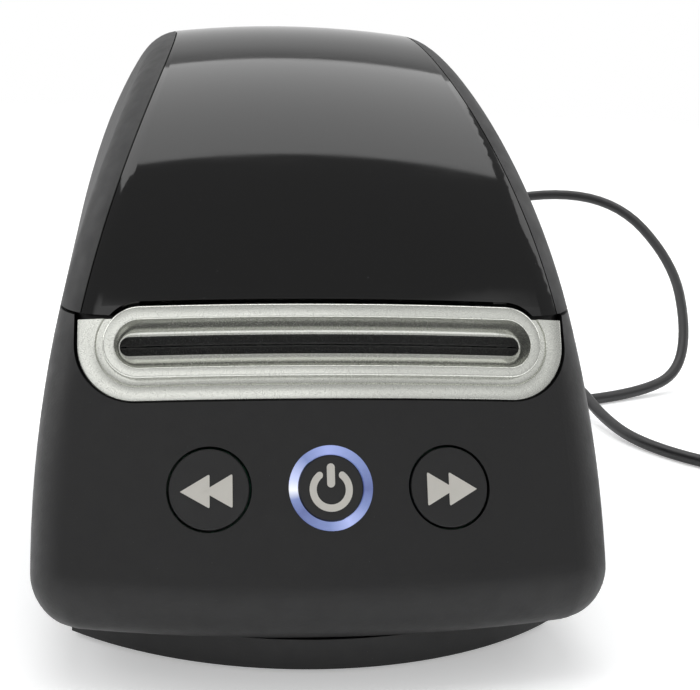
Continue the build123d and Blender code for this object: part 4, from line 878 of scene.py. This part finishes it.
@dataclass
class Lead:
    """The data lead: one curve through its seen stretches, the coil and the tail."""

    diameter: float = 3.8 * MM
    rest: float = 1.92 * MM
    length: float = 1.81
    exit: Point = (22.0 * MM, 130.2 * MM, 20.5 * MM)
    turns: int = 8
    pitch: float = 4.35 * MM
    radius: float = 31.2 * MM
    coil_x: float = 186.0 * MM
    coil_y: float = -2.0 * MM
    climb_dip: float = 0.8 * MM
    steps_per_turn: int = 24
    plug_end: float = 158.2 * MM
    plug_height: float = 3.9 * MM
    tail_level: float = 6.0 * MM
    tail_drop: float = 15.0 * MM
    boot_start: float = 118.2 * MM
    boot_end: float = 130.2 * MM
    rib_count: int = 5
    rib_inset: float = 1.7 * MM
    rib_first: float = 3.42 * MM
    rib_last: float = 2.58 * MM
    rib_thick: float = 0.55 * MM
    route: list[Point] = field(
        default_factory=lambda: [
            (22, 130.2, 20.5), (22, 146, 20.5), (38, 173, 30), (74, 195, 47), (116, 202, 62),
            (150.5, 187, 62), (166.5, 161.5, 41), (165.5, 141, 20), (158, 127, 6), (141, 118, 1.92),
            (111, 105, 1.92), (81, 102, 1.92), (59, 111, 1.92), (58, 134, 1.92), (80, 153, 1.92),
            (103, 144, 3.6), (111, 122, 7.0), (113, 102, 8.2), (115, 83, 4.0), (120, 62, 1.92),
            (136, 39.5, 1.92), (158, 31, 1.92), (182.2, 29.2, 1.92),
        ]
    )

    def coil_point(self, turn: float) -> Vector:
        """Point of the coil after a number of turns: inwards below, up through the middle, outwards above."""
        half = self.turns / 2
        height = self.rest
        if turn <= half:
            radius = self.radius - self.pitch * turn
        elif turn <= half + 0.5:
            radius = self.radius - self.pitch * half - self.climb_dip * sin(2 * pi * (turn - half))
            height += self.pitch * (turn - half) * 2
        else:
            radius = self.radius - self.pitch * (self.turns + 0.5 - turn)
            height += self.pitch
        angle = pi / 2 - 2 * pi * turn
        return Vector((self.coil_x + radius * cos(angle), self.coil_y + radius * sin(angle), height))

    def tail(self) -> list[Vector]:
        """Points from the coil's last turn down into the far plug."""
        side, y, low = self.coil_x - self.diameter, self.coil_y - self.radius, self.plug_height
        high = self.rest + self.pitch
        places = [(side, high), (side - self.tail_level, high), (side - self.tail_drop, low)]
        return [Vector((x, y, z)) for x, z in [*places, (self.plug_end, low)]]

    def points(self) -> list[Vector]:
        """Control points of the whole lead in metres."""
        whole = self.turns + 0.5
        count = int(whole * self.steps_per_turn)
        coil = [self.coil_point(whole * i / count) for i in range(count + 1)]
        return [*(Vector(p) * MM for p in self.route), *coil, *self.tail()]

    def cable(self) -> bpy.types.Object:
        data = bpy.data.curves.new("lead_cable", "CURVE")
        data.dimensions = "3D"
        data.bevel_depth = self.diameter / 2
        data.bevel_resolution = 5
        data.resolution_u = 8
        data.use_fill_caps = True
        points = self.points()
        spline = data.splines.new("NURBS")
        spline.points.add(len(points) - 1)
        for slot, point in zip(spline.points, points):
            slot.co = (*point, 1.0)
        spline.order_u = 3
        spline.use_endpoint_u = True
        cable = bpy.data.objects.new("lead_cable", data)
        bpy.context.scene.collection.objects.link(cable)
        data.materials.append(PAINT.get(JACKET))
        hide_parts("cord_lead", "cord_coil", "cord_tail")
        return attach(cable, "housing")

    def boot_ribs(self) -> bpy.types.Object:
        """Makes the ribs round the tapered strain relief."""
        x, _, z = self.exit
        start = (x, self.boot_start + self.rib_inset, z)
        pitch = (self.boot_end - self.boot_start - 2 * self.rib_inset) / (self.rib_count - 1)
        ribs = Ribs(
            "boot_ribs", "housing", start, Axis.Y, self.rib_count, pitch,
            self.rib_first, self.rib_last, self.rib_thick, RUBBER, "rubber",
        )
        return ribs.build()

    def build(self) -> None:
        cable = self.cable()
        self.boot_ribs()
        log.info("lead of %.2f m made", self.length)


# The silver faceplate


@dataclass
class Faceplate:
    """Silver faceplate: raised round-ended rim, concave label scoop, groove and lower band."""

    rim_straight: float = 40.6 * MM
    rim_radius: float = 7.9 * MM
    rim_proud: float = 0.9 * MM
    rim_round: float = 0.45 * MM
    mouth_half: float = 45.9 * MM
    mouth_radius: float = 5.25 * MM
    mouth_drop: float = 0.35 * MM
    mouth_round: float = 0.3 * MM
    slot_half: float = 44.8 * MM
    slot_height: float = 4.3 * MM
    slot_drop: float = -0.1 * MM
    slot_deep: float = 5.2 * MM
    throat: float = 2.0 * MM
    funnel_wall: float = 1.3 * MM
    underside: float = -2.2 * MM
    band_top: float = -0.5 * MM
    band_round: float = 0.3 * MM
    groove_width: float = 1.5 * MM
    groove_deep: float = 0.6 * MM
    cove: float = 0.5 * MM
    plate_half: float = 53.9 * MM
    plate_radius: float = 12.7 * MM
    ear: float = 5.6 * MM
    ear_steps: int = 8
    arc_steps: int = 28
    straight_steps: int = 40
    smooth: float = 40.0

    def stadium(self, straight: float, radius: float, drop: float, out: float) -> list[Vector]:
        """Points of a round-ended outline on the crowned face.

        Args:
            straight: Half the length of its straight sides.
            radius: Radius of its ends.
            drop: Distance of its middle line below the rim's.
            out: Distance proud of the skin.

        Returns:
            The points, starting at the right-hand end of the lower side.
        """
        plane = []
        for side, first in ((1, -pi / 2), (-1, pi / 2)):
            turn = [first + pi * i / self.arc_steps for i in range(self.arc_steps)]
            plane += [(side * straight + radius * cos(a), radius * sin(a)) for a in turn]
            run = [side * straight * (1 - 2 * i / self.straight_steps) for i in range(self.straight_steps)]
            plane += [(x, side * radius) for x in run]
        return [FACE.place(x, w - drop, out) for x, w in plane]

    def rim_stations(self) -> list[tuple[float, float, float, float]]:
        """Stations of the rim and its scoop: straight half, radius, drop and height."""
        straight, radius, proud = self.rim_straight, self.rim_radius, self.rim_proud
        stations = [(straight, radius, 0.0, self.underside)]
        for turn in quarter_turn(6):
            back = self.rim_round * (1 - cos(turn))
            stations.append((straight, radius - back, 0.0, proud - self.rim_round * (1 - sin(turn))))
        mouth = self.mouth_half - self.mouth_radius
        for turn in quarter_turn(6):
            wide = self.mouth_radius + self.mouth_round * (1 - sin(turn))
            stations.append((mouth, wide, self.mouth_drop, proud - self.mouth_round * (1 - cos(turn))))
        end, thin = self.slot_half - self.slot_height / 2, self.slot_height / 2
        start = proud - self.mouth_round
        for turn in quarter_turn(14)[1:]:
            near, far = cos(turn), 1 - cos(turn)
            wide, drop = self.mouth_radius * near + thin * far, self.mouth_drop * near + self.slot_drop * far
            height = start - (start + self.slot_deep) * sin(turn)
            stations.append((mouth * near + end * far, wide, drop, height))
        inner, outer = self.slot_deep + self.throat, self.mouth_radius + self.funnel_wall
        stations.append((end, thin, self.slot_drop, -inner))
        stations.append((mouth, outer, self.mouth_drop, -inner))
        return [*stations, (mouth, outer, self.mouth_drop, self.underside)]

    def rim(self, mesh: Mesh) -> None:
        """Adds the rim, the scoop and its throat as one closed ring."""
        rings = [mesh.loop(self.stadium(*station)) for station in self.rim_stations()]
        for first, second in zip(rings, [*rings[1:], rings[0]]):
            mesh.bridge(first, second)

    def band_lines(self) -> list[tuple[Flat, Flat, Flat]]:
        """Places of the rim's wall, the band's inner edge and its outer edge, from right ear to left."""
        straight, corner = self.rim_straight, self.plate_half - self.plate_radius
        radii = (self.rim_radius, self.rim_radius + self.groove_width)
        right = []
        for i in range(self.ear_steps):
            w = self.ear * (1 - i / self.ear_steps)
            edges = [(straight + sqrt(radius**2 - w**2), w) for radius in radii]
            right.append((*edges, (self.plate_half, w)))
        for turn in quarter_turn(self.arc_steps):
            edges = [(straight + radius * cos(turn), -radius * sin(turn)) for radius in radii]
            outer = (corner + self.plate_radius * cos(turn), -self.plate_radius * sin(turn))
            right.append((*edges, outer))
        bottom = []
        for i in range(1, self.straight_steps):
            share = 1 - 2 * i / self.straight_steps
            edges = [(straight * share, -radius) for radius in radii]
            bottom.append((*edges, (corner * share, -self.plate_radius)))
        left = [tuple((-x, w) for x, w in places) for places in reversed(right)]
        return [*right, *bottom, *left]

    def band_section(self, wall: Flat, inner: Flat, outer: Flat) -> list[Vector]:
        """Points across the groove and the band at one place along them."""
        floor = self.band_top - self.groove_deep
        section = [(wall, self.underside), (wall, floor)]
        section.append((towards(inner, wall, self.cove), floor))
        section.append((towards(inner, wall, 0.3 * self.cove), floor + 0.12 * self.cove))
        section.append((inner, floor + 0.5 * self.cove))
        for turn in quarter_turn(4):
            back = self.band_round * (1 - cos(turn))
            section.append((towards(inner, outer, back), self.band_top - self.band_round * (1 - sin(turn))))
        for turn in reversed(quarter_turn(4)):
            back = self.band_round * (1 - cos(turn))
            section.append((towards(outer, inner, back), self.band_top - self.band_round * (1 - sin(turn))))
        section.append((outer, self.underside))
        return [FACE.place(x, w, out) for (x, w), out in section]

    def band(self, mesh: Mesh) -> None:
        """Adds the groove and the lower band with its ears as one closed strip."""
        rows = [mesh.loop(self.band_section(*places)) for places in self.band_lines()]
        for first, second in zip(rows, rows[1:]):
            mesh.bridge(first, second)
        mesh.cap(rows[0])
        mesh.cap(rows[-1])

    def build(self) -> None:
        """Makes the faceplate in place of the plain one."""
        mesh = Mesh()
        self.rim(mesh)
        self.band(mesh)
        piece = mesh.finish("faceplate_silver", SILVER, "housing", "silver_plastic", self.smooth)
        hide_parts("faceplate")


def quarter_turn(steps: int) -> list[float]:
    """Angles from nothing to a quarter turn."""
    return [pi / 2 * i / steps for i in range(steps + 1)]


def towards(start: Flat, end: Flat, distance: float) -> Flat:
    """Place at a distance from one place on the way to another."""
    across, up = end[0] - start[0], end[1] - start[1]
    share = distance / sqrt(across**2 + up**2)
    return start[0] + across * share, start[1] + up * share


# What repeats: fibres and ribs, made with Geometry Nodes


class NodeTree:
    """A Geometry Nodes tree with named inputs, which turns a base mesh into a plain mesh."""

    def __init__(self, name: str, paint: Finish) -> None:
        """Starts a tree with its input and output.

        Args:
            name: Name of the tree.
            paint: Finish that the result gets.
        """
        self.tree = bpy.data.node_groups.new(name, "GeometryNodeTree")
        self.tree.interface.new_socket("Geometry", in_out="INPUT", socket_type="NodeSocketGeometry")
        self.tree.interface.new_socket("Geometry", in_out="OUTPUT", socket_type="NodeSocketGeometry")
        self.inputs = self.tree.nodes.new("NodeGroupInput")
        self.material = PAINT.get(paint)
        self.values: dict[str, object] = {}

    def size(self, name: str, value: float | int) -> bpy.types.NodeSocket:
        """Adds a named input with its value and returns its socket."""
        kind = "NodeSocketInt" if isinstance(value, int) else "NodeSocketFloat"
        item = self.tree.interface.new_socket(name, in_out="INPUT", socket_type=kind)
        self.values[item.identifier] = value
        return self.inputs.outputs[name]

    def node(self, kind: str, **links: object) -> bpy.types.Node:
        """Adds a node; a socket given by name is linked, and a value is set."""
        node = self.tree.nodes.new(kind)
        for key, value in links.items():
            socket = node.inputs[key.replace("_", " ")]
            if isinstance(value, bpy.types.NodeSocket):
                self.tree.links.new(value, socket)
            else:
                socket.default_value = value
        return node

    def apply(self, name: str, base: bpy.types.Mesh, shape: bpy.types.NodeSocket) -> bpy.types.Mesh:
        """Ends the tree, runs it on a base mesh and returns the plain result.

        Args:
            name: Name of the result.
            base: Mesh that the tree starts from.
            shape: Socket with the instances.

        Returns:
            The new mesh.
        """
        real = self.node("GeometryNodeRealizeInstances", Geometry=shape)
        painted = self.node(
            "GeometryNodeSetMaterial", Geometry=real.outputs["Geometry"], Material=self.material
        )
        end = self.tree.nodes.new("NodeGroupOutput")
        self.tree.links.new(painted.outputs["Geometry"], end.inputs["Geometry"])
        carrier = bpy.data.objects.new(name, base)
        bpy.context.scene.collection.objects.link(carrier)
        modifier = carrier.modifiers.new("nodes", "NODES")
        modifier.node_group = self.tree
        for identifier, value in self.values.items():
            modifier[identifier] = value
        ready = carrier.evaluated_get(bpy.context.evaluated_depsgraph_get())
        result = bpy.data.meshes.new_from_object(ready)
        carrier.modifiers.remove(modifier)
        bpy.data.objects.remove(carrier)
        result.name = name
        return result


@dataclass
class FeltPads:
    """Two felt pads that close the slot but for a slit, with short fibres on their fronts."""

    half: float = 44.7 * MM
    height: float = 4.2 * MM
    drop: float = -0.1 * MM
    front: float = -5.5 * MM
    back: float = -7.1 * MM
    slit: float = 0.5 * MM
    roll: float = 0.25 * MM
    root: float = 0.05 * MM
    columns: int = 60
    count: int = 2600
    fibre_length: float = 0.55 * MM
    fibre_radius: float = 0.028 * MM
    lean: Point = (0.9, 0.9, 3.1)
    seed: int = 7

    def across(self, mesh: Mesh, x: float, section: list[Flat]) -> list[bmesh.types.BMVert]:
        """Adds the points of a section at one place along the slot and returns them."""
        return mesh.loop(FACE.place(x, w - self.drop, out) for w, out in section)

    def places(self) -> list[float]:
        """Places along the slot where sections stand."""
        return [self.half * (2 * i / self.columns - 1) for i in range(self.columns + 1)]

    def pad(self, mesh: Mesh, low: float, high: float) -> None:
        """Adds one pad between two heights, rounded at its front edges."""
        roll = self.roll
        section = [(low, self.back), (low, self.front - roll), (low + roll, self.front)]
        section += [(high - roll, self.front), (high, self.front - roll), (high, self.back)]
        rows = [self.across(mesh, x, section) for x in self.places()]
        for first, second in zip(rows, rows[1:]):
            mesh.bridge(first, second)
        mesh.cap(rows[0])
        mesh.cap(rows[-1])

    def fronts(self) -> bpy.types.Mesh:
        """Flat strips at the pads' fronts that the fibres grow on."""
        mesh = Mesh()
        root = self.front - self.root
        for low, high in ((-self.height / 2, -self.slit / 2), (self.slit / 2, self.height / 2)):
            rows = [self.across(mesh, x, [(low, root), (high, root)]) for x in self.places()]
            for first, second in zip(rows, rows[1:]):
                mesh.bridge(first, second, closed=False)
        for face in mesh.bm.faces:
            face.normal_update()
            if face.normal.y > 0:
                face.normal_flip()
        return mesh.data("felt_fronts")

    def fibres(self) -> bpy.types.Mesh:
        """Short fibres that stand and lean on the pads' fronts."""
        tree = NodeTree("felt_fibres", FELT)
        density = self.count / (2 * self.half * (self.height - self.slit))
        points = tree.node(
            "GeometryNodeDistributePointsOnFaces", Mesh=tree.inputs.outputs["Geometry"],
            Density=tree.size("Density", float(density)), Seed=tree.size("Seed", self.seed),
        )
        fibre = tree.node(
            "GeometryNodeMeshCone", Vertices=4, Radius_Top=self.fibre_radius * 0.5,
            Radius_Bottom=tree.size("Fibre radius", self.fibre_radius),
            Depth=tree.size("Fibre length", self.fibre_length),
        )
        lean = tree.node("FunctionNodeRandomValue")
        lean.data_type = "FLOAT_VECTOR"
        lean.inputs[0].default_value = [-part for part in self.lean]
        lean.inputs[1].default_value = self.lean
        lean.inputs["Seed"].default_value = self.seed
        turn = tree.node(
            "FunctionNodeRotateRotation", Rotation=points.outputs["Rotation"], Rotate_By=lean.outputs[0]
        )
        turn.rotation_space = "LOCAL"
        grown = tree.node(
            "GeometryNodeInstanceOnPoints", Points=points.outputs["Points"],
            Instance=fibre.outputs["Mesh"], Rotation=turn.outputs["Rotation"],
        )
        return tree.apply("felt_fibre_mesh", self.fronts(), grown.outputs["Instances"])

    def build(self) -> None:
        """Makes the pads in place of the plain strips, and their fibres."""
        mesh = Mesh()
        self.pad(mesh, -self.height / 2, -self.slit / 2)
        self.pad(mesh, self.slit / 2, self.height / 2)
        pads = mesh.finish("felt_pads", FELT, "housing", "felt")
        settle(bpy.data.objects.new("felt_fibre_tips", self.fibres()), FELT, "housing")
        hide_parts("slot_felt")


@dataclass
class Ribs:
    """Row of rounded ribs round a straight grip that runs along one axis, wider at its start."""

    name: str
    body: str
    start: Point
    axis: Axis
    count: int
    pitch: float
    radius: float
    end_radius: float
    thick: float
    paint: Finish
    slot: str
    steps: int = 40
    bead_steps: int = 8

    def bead(self, tree: NodeTree) -> bpy.types.NodeSocket:
        """One rib of radius 1: a small circle swept round a larger one."""
        circle = tree.node("GeometryNodeCurvePrimitiveCircle", Resolution=self.steps, Radius=1.0)
        profile = tree.node(
            "GeometryNodeCurvePrimitiveCircle", Resolution=self.bead_steps,
            Radius=tree.size("Bead", self.thick / self.radius),
        )
        ring = tree.node(
            "GeometryNodeCurveToMesh", Curve=circle.outputs["Curve"], Profile_Curve=profile.outputs["Curve"]
        )
        return ring.outputs["Mesh"]

    def taper(self, tree: NodeTree) -> bpy.types.NodeSocket:
        """Radius of each rib, from the first to the last."""
        index = tree.node("GeometryNodeInputIndex")
        share = tree.node(
            "ShaderNodeMapRange", Value=index.outputs["Index"], From_Max=float(self.count - 1),
            To_Min=tree.size("First radius", self.radius), To_Max=tree.size("Last radius", self.end_radius),
        )
        return share.outputs["Result"]

    def build(self) -> bpy.types.Object:
        """Makes the ribs and returns their object."""
        tree = NodeTree(self.name, self.paint)
        step = tree.node("ShaderNodeVectorMath")
        step.operation = "SCALE"
        step.inputs[0].default_value = self.axis.value
        tree.tree.links.new(tree.size("Pitch", self.pitch), step.inputs["Scale"])
        row = tree.node(
            "GeometryNodeMeshLine", Count=tree.size("Count", self.count), Offset=step.outputs["Vector"]
        )
        turn = (0.0, pi / 2, 0.0) if self.axis is Axis.X else (pi / 2, 0.0, 0.0)
        placed = tree.node(
            "GeometryNodeInstanceOnPoints", Points=row.outputs["Mesh"], Instance=self.bead(tree),
            Rotation=turn, Scale=self.taper(tree),
        )
        base = bpy.data.meshes.new(f"{self.name}_base")
        mesh = tree.apply(f"{self.name}_mesh", base, placed.outputs["Instances"])
        mesh.transform(Matrix.Translation(self.start))
        return settle(bpy.data.objects.new(self.name, mesh), self.paint, self.body)


# Symbols on the buttons


@dataclass
class FeedSymbol:
    """Two overlapping round-cornered triangles printed on a feed button."""

    side: Side
    body: str
    length: float = 6.2 * MM
    height: float = 7.15 * MM
    step: float = 4.8 * MM
    ahead: float = 0.6 * MM
    corner: float = 0.4 * MM
    proud: float = 0.03 * MM
    columns: int = 14

    def half_height(self, along: float) -> float:
        """Half height of the round-cornered triangle at a distance from its upright side."""
        tip = self.length - self.corner * 0.9
        slope = self.height / 2 / self.length
        half = slope * (self.length - along)
        if along < self.corner:
            rise = self.corner - sqrt(max(0.0, self.corner**2 - (self.corner - along) ** 2))
            half = min(half, slope * (self.length - self.corner) + self.corner * slope - rise)
        if along > tip:
            half *= sqrt(max(0.0, 1 - ((along - tip) / (self.length - tip)) ** 2))
        return max(half, THINNEST / 2)

    def triangle(self, mesh: Mesh, base: float) -> None:
        """Adds one triangle that follows the crowned skin.

        Args:
            mesh: Mesh that takes the triangle.
            base: Place of its upright side, towards the tip from the symbol's middle.
        """
        spans = [self.length * (1 - cos(pi * i / self.columns)) / 2 for i in range(self.columns + 1)]
        centre = self.side.value * FACE.button_pitch
        rows = []
        for out in (self.proud, SYMBOL_ROOT):
            low = [self.point(centre, base + a, -self.half_height(a), out) for a in spans]
            high = [self.point(centre, base + a, self.half_height(a), out) for a in spans]
            rows.append(mesh.loop([*low, *reversed(high)]))
        mesh.bridge(rows[1], rows[0])
        last = 2 * len(spans) - 1
        for row in rows:
            for i in range(self.columns):
                mesh.bm.faces.new((row[i], row[i + 1], row[last - i - 1], row[last - i]))

    def point(self, centre: float, along: float, w: float, out: float) -> Vector:
        """Point over the button, with the distance along counted towards the symbol's tip."""
        return FACE.place(centre + self.side.value * along, w - FACE.button_drop, out)

    def build(self) -> None:
        """Makes the two triangles of the symbol."""
        mesh = Mesh()
        whole = self.length + self.step
        for base in (0.0, self.step):
            self.triangle(mesh, base - whole / 2 + self.ahead)
        mesh.finish(f"symbol_{self.body}", SYMBOL, self.body, "white_plastic")


@dataclass
class PowerSymbol:
    """Open ring with an upright bar, printed on the power button."""

    radius: float = 3.85 * MM
    stroke: float = 1.5 * MM
    gap: float = radians(39.0)
    bar_low: float = 0.45 * MM
    bar_high: float = 5.5 * MM
    bar_width: float = 1.7 * MM
    proud: float = 0.03 * MM
    steps: int = 40
    ends: int = 8

    def ribbon(self, mesh: Mesh, inner: list[tuple[float, float]], outer: list[tuple[float, float]]) -> None:
        """Adds a closed thin ribbon between two open lines of points on the face."""
        outline = [*inner, *reversed(outer)]
        rows = []
        for out in (self.proud, SYMBOL_ROOT):
            rows.append(mesh.loop(FACE.place(x, w - FACE.button_drop, out) for x, w in outline))
        mesh.bridge(rows[1], rows[0])
        last = len(outline) - 1
        for row in rows:
            for i in range(len(inner) - 1):
                mesh.bm.faces.new((row[i], row[i + 1], row[last - i - 1], row[last - i]))

    def ring(self, mesh: Mesh) -> None:
        """Adds the open ring with its rounded ends."""
        half = self.stroke / 2
        start, stop = pi / 2 + self.gap, pi / 2 + 2 * pi - self.gap
        quarter = [pi / 2 * i / self.ends for i in range(self.ends + 1)]
        stations = [(start - half / self.radius * sin(t), half * cos(t)) for t in reversed(quarter)]
        stations += [(start + (stop - start) * i / self.steps, half) for i in range(1, self.steps)]
        stations += [(stop + half / self.radius * sin(t), half * cos(t)) for t in quarter]
        sides = []
        for side in (-1, 1):
            reach = [(self.radius + side * max(width, THINNEST), angle) for angle, width in stations]
            sides.append([(r * cos(angle), r * sin(angle)) for r, angle in reach])
        self.ribbon(mesh, sides[0], sides[1])

    def bar(self, mesh: Mesh) -> None:
        """Adds the upright bar with its rounded ends."""
        wide = self.bar_width / 2
        quarter = [pi / 2 * i / self.ends for i in range(self.ends + 1)]
        stations = [(self.bar_low + wide - wide * sin(t), wide * cos(t)) for t in reversed(quarter)]
        stations += [(self.bar_high - wide + wide * sin(t), wide * cos(t)) for t in quarter]
        sides = [[(side * max(reach, THINNEST), w) for w, reach in stations] for side in (-1, 1)]
        self.ribbon(mesh, sides[0], sides[1])

    def build(self) -> None:
        """Makes the ring and the bar as one piece."""
        mesh = Mesh()
        self.ring(mesh)
        self.bar(mesh)
        mesh.finish("symbol_power", SYMBOL, "power", "white_plastic")


def main() -> None:
    """Builds the scene piece by piece."""
    Studio().build()
    Lead().build()
    PAINT.dress_nodes()
    Faceplate().build()
    FeltPads().build()
    FeedSymbol(Side.LEFT, "rewind").build()
    FeedSymbol(Side.RIGHT, "forward").build()
    PowerSymbol().build()


if __name__ == "__main__":
    main()
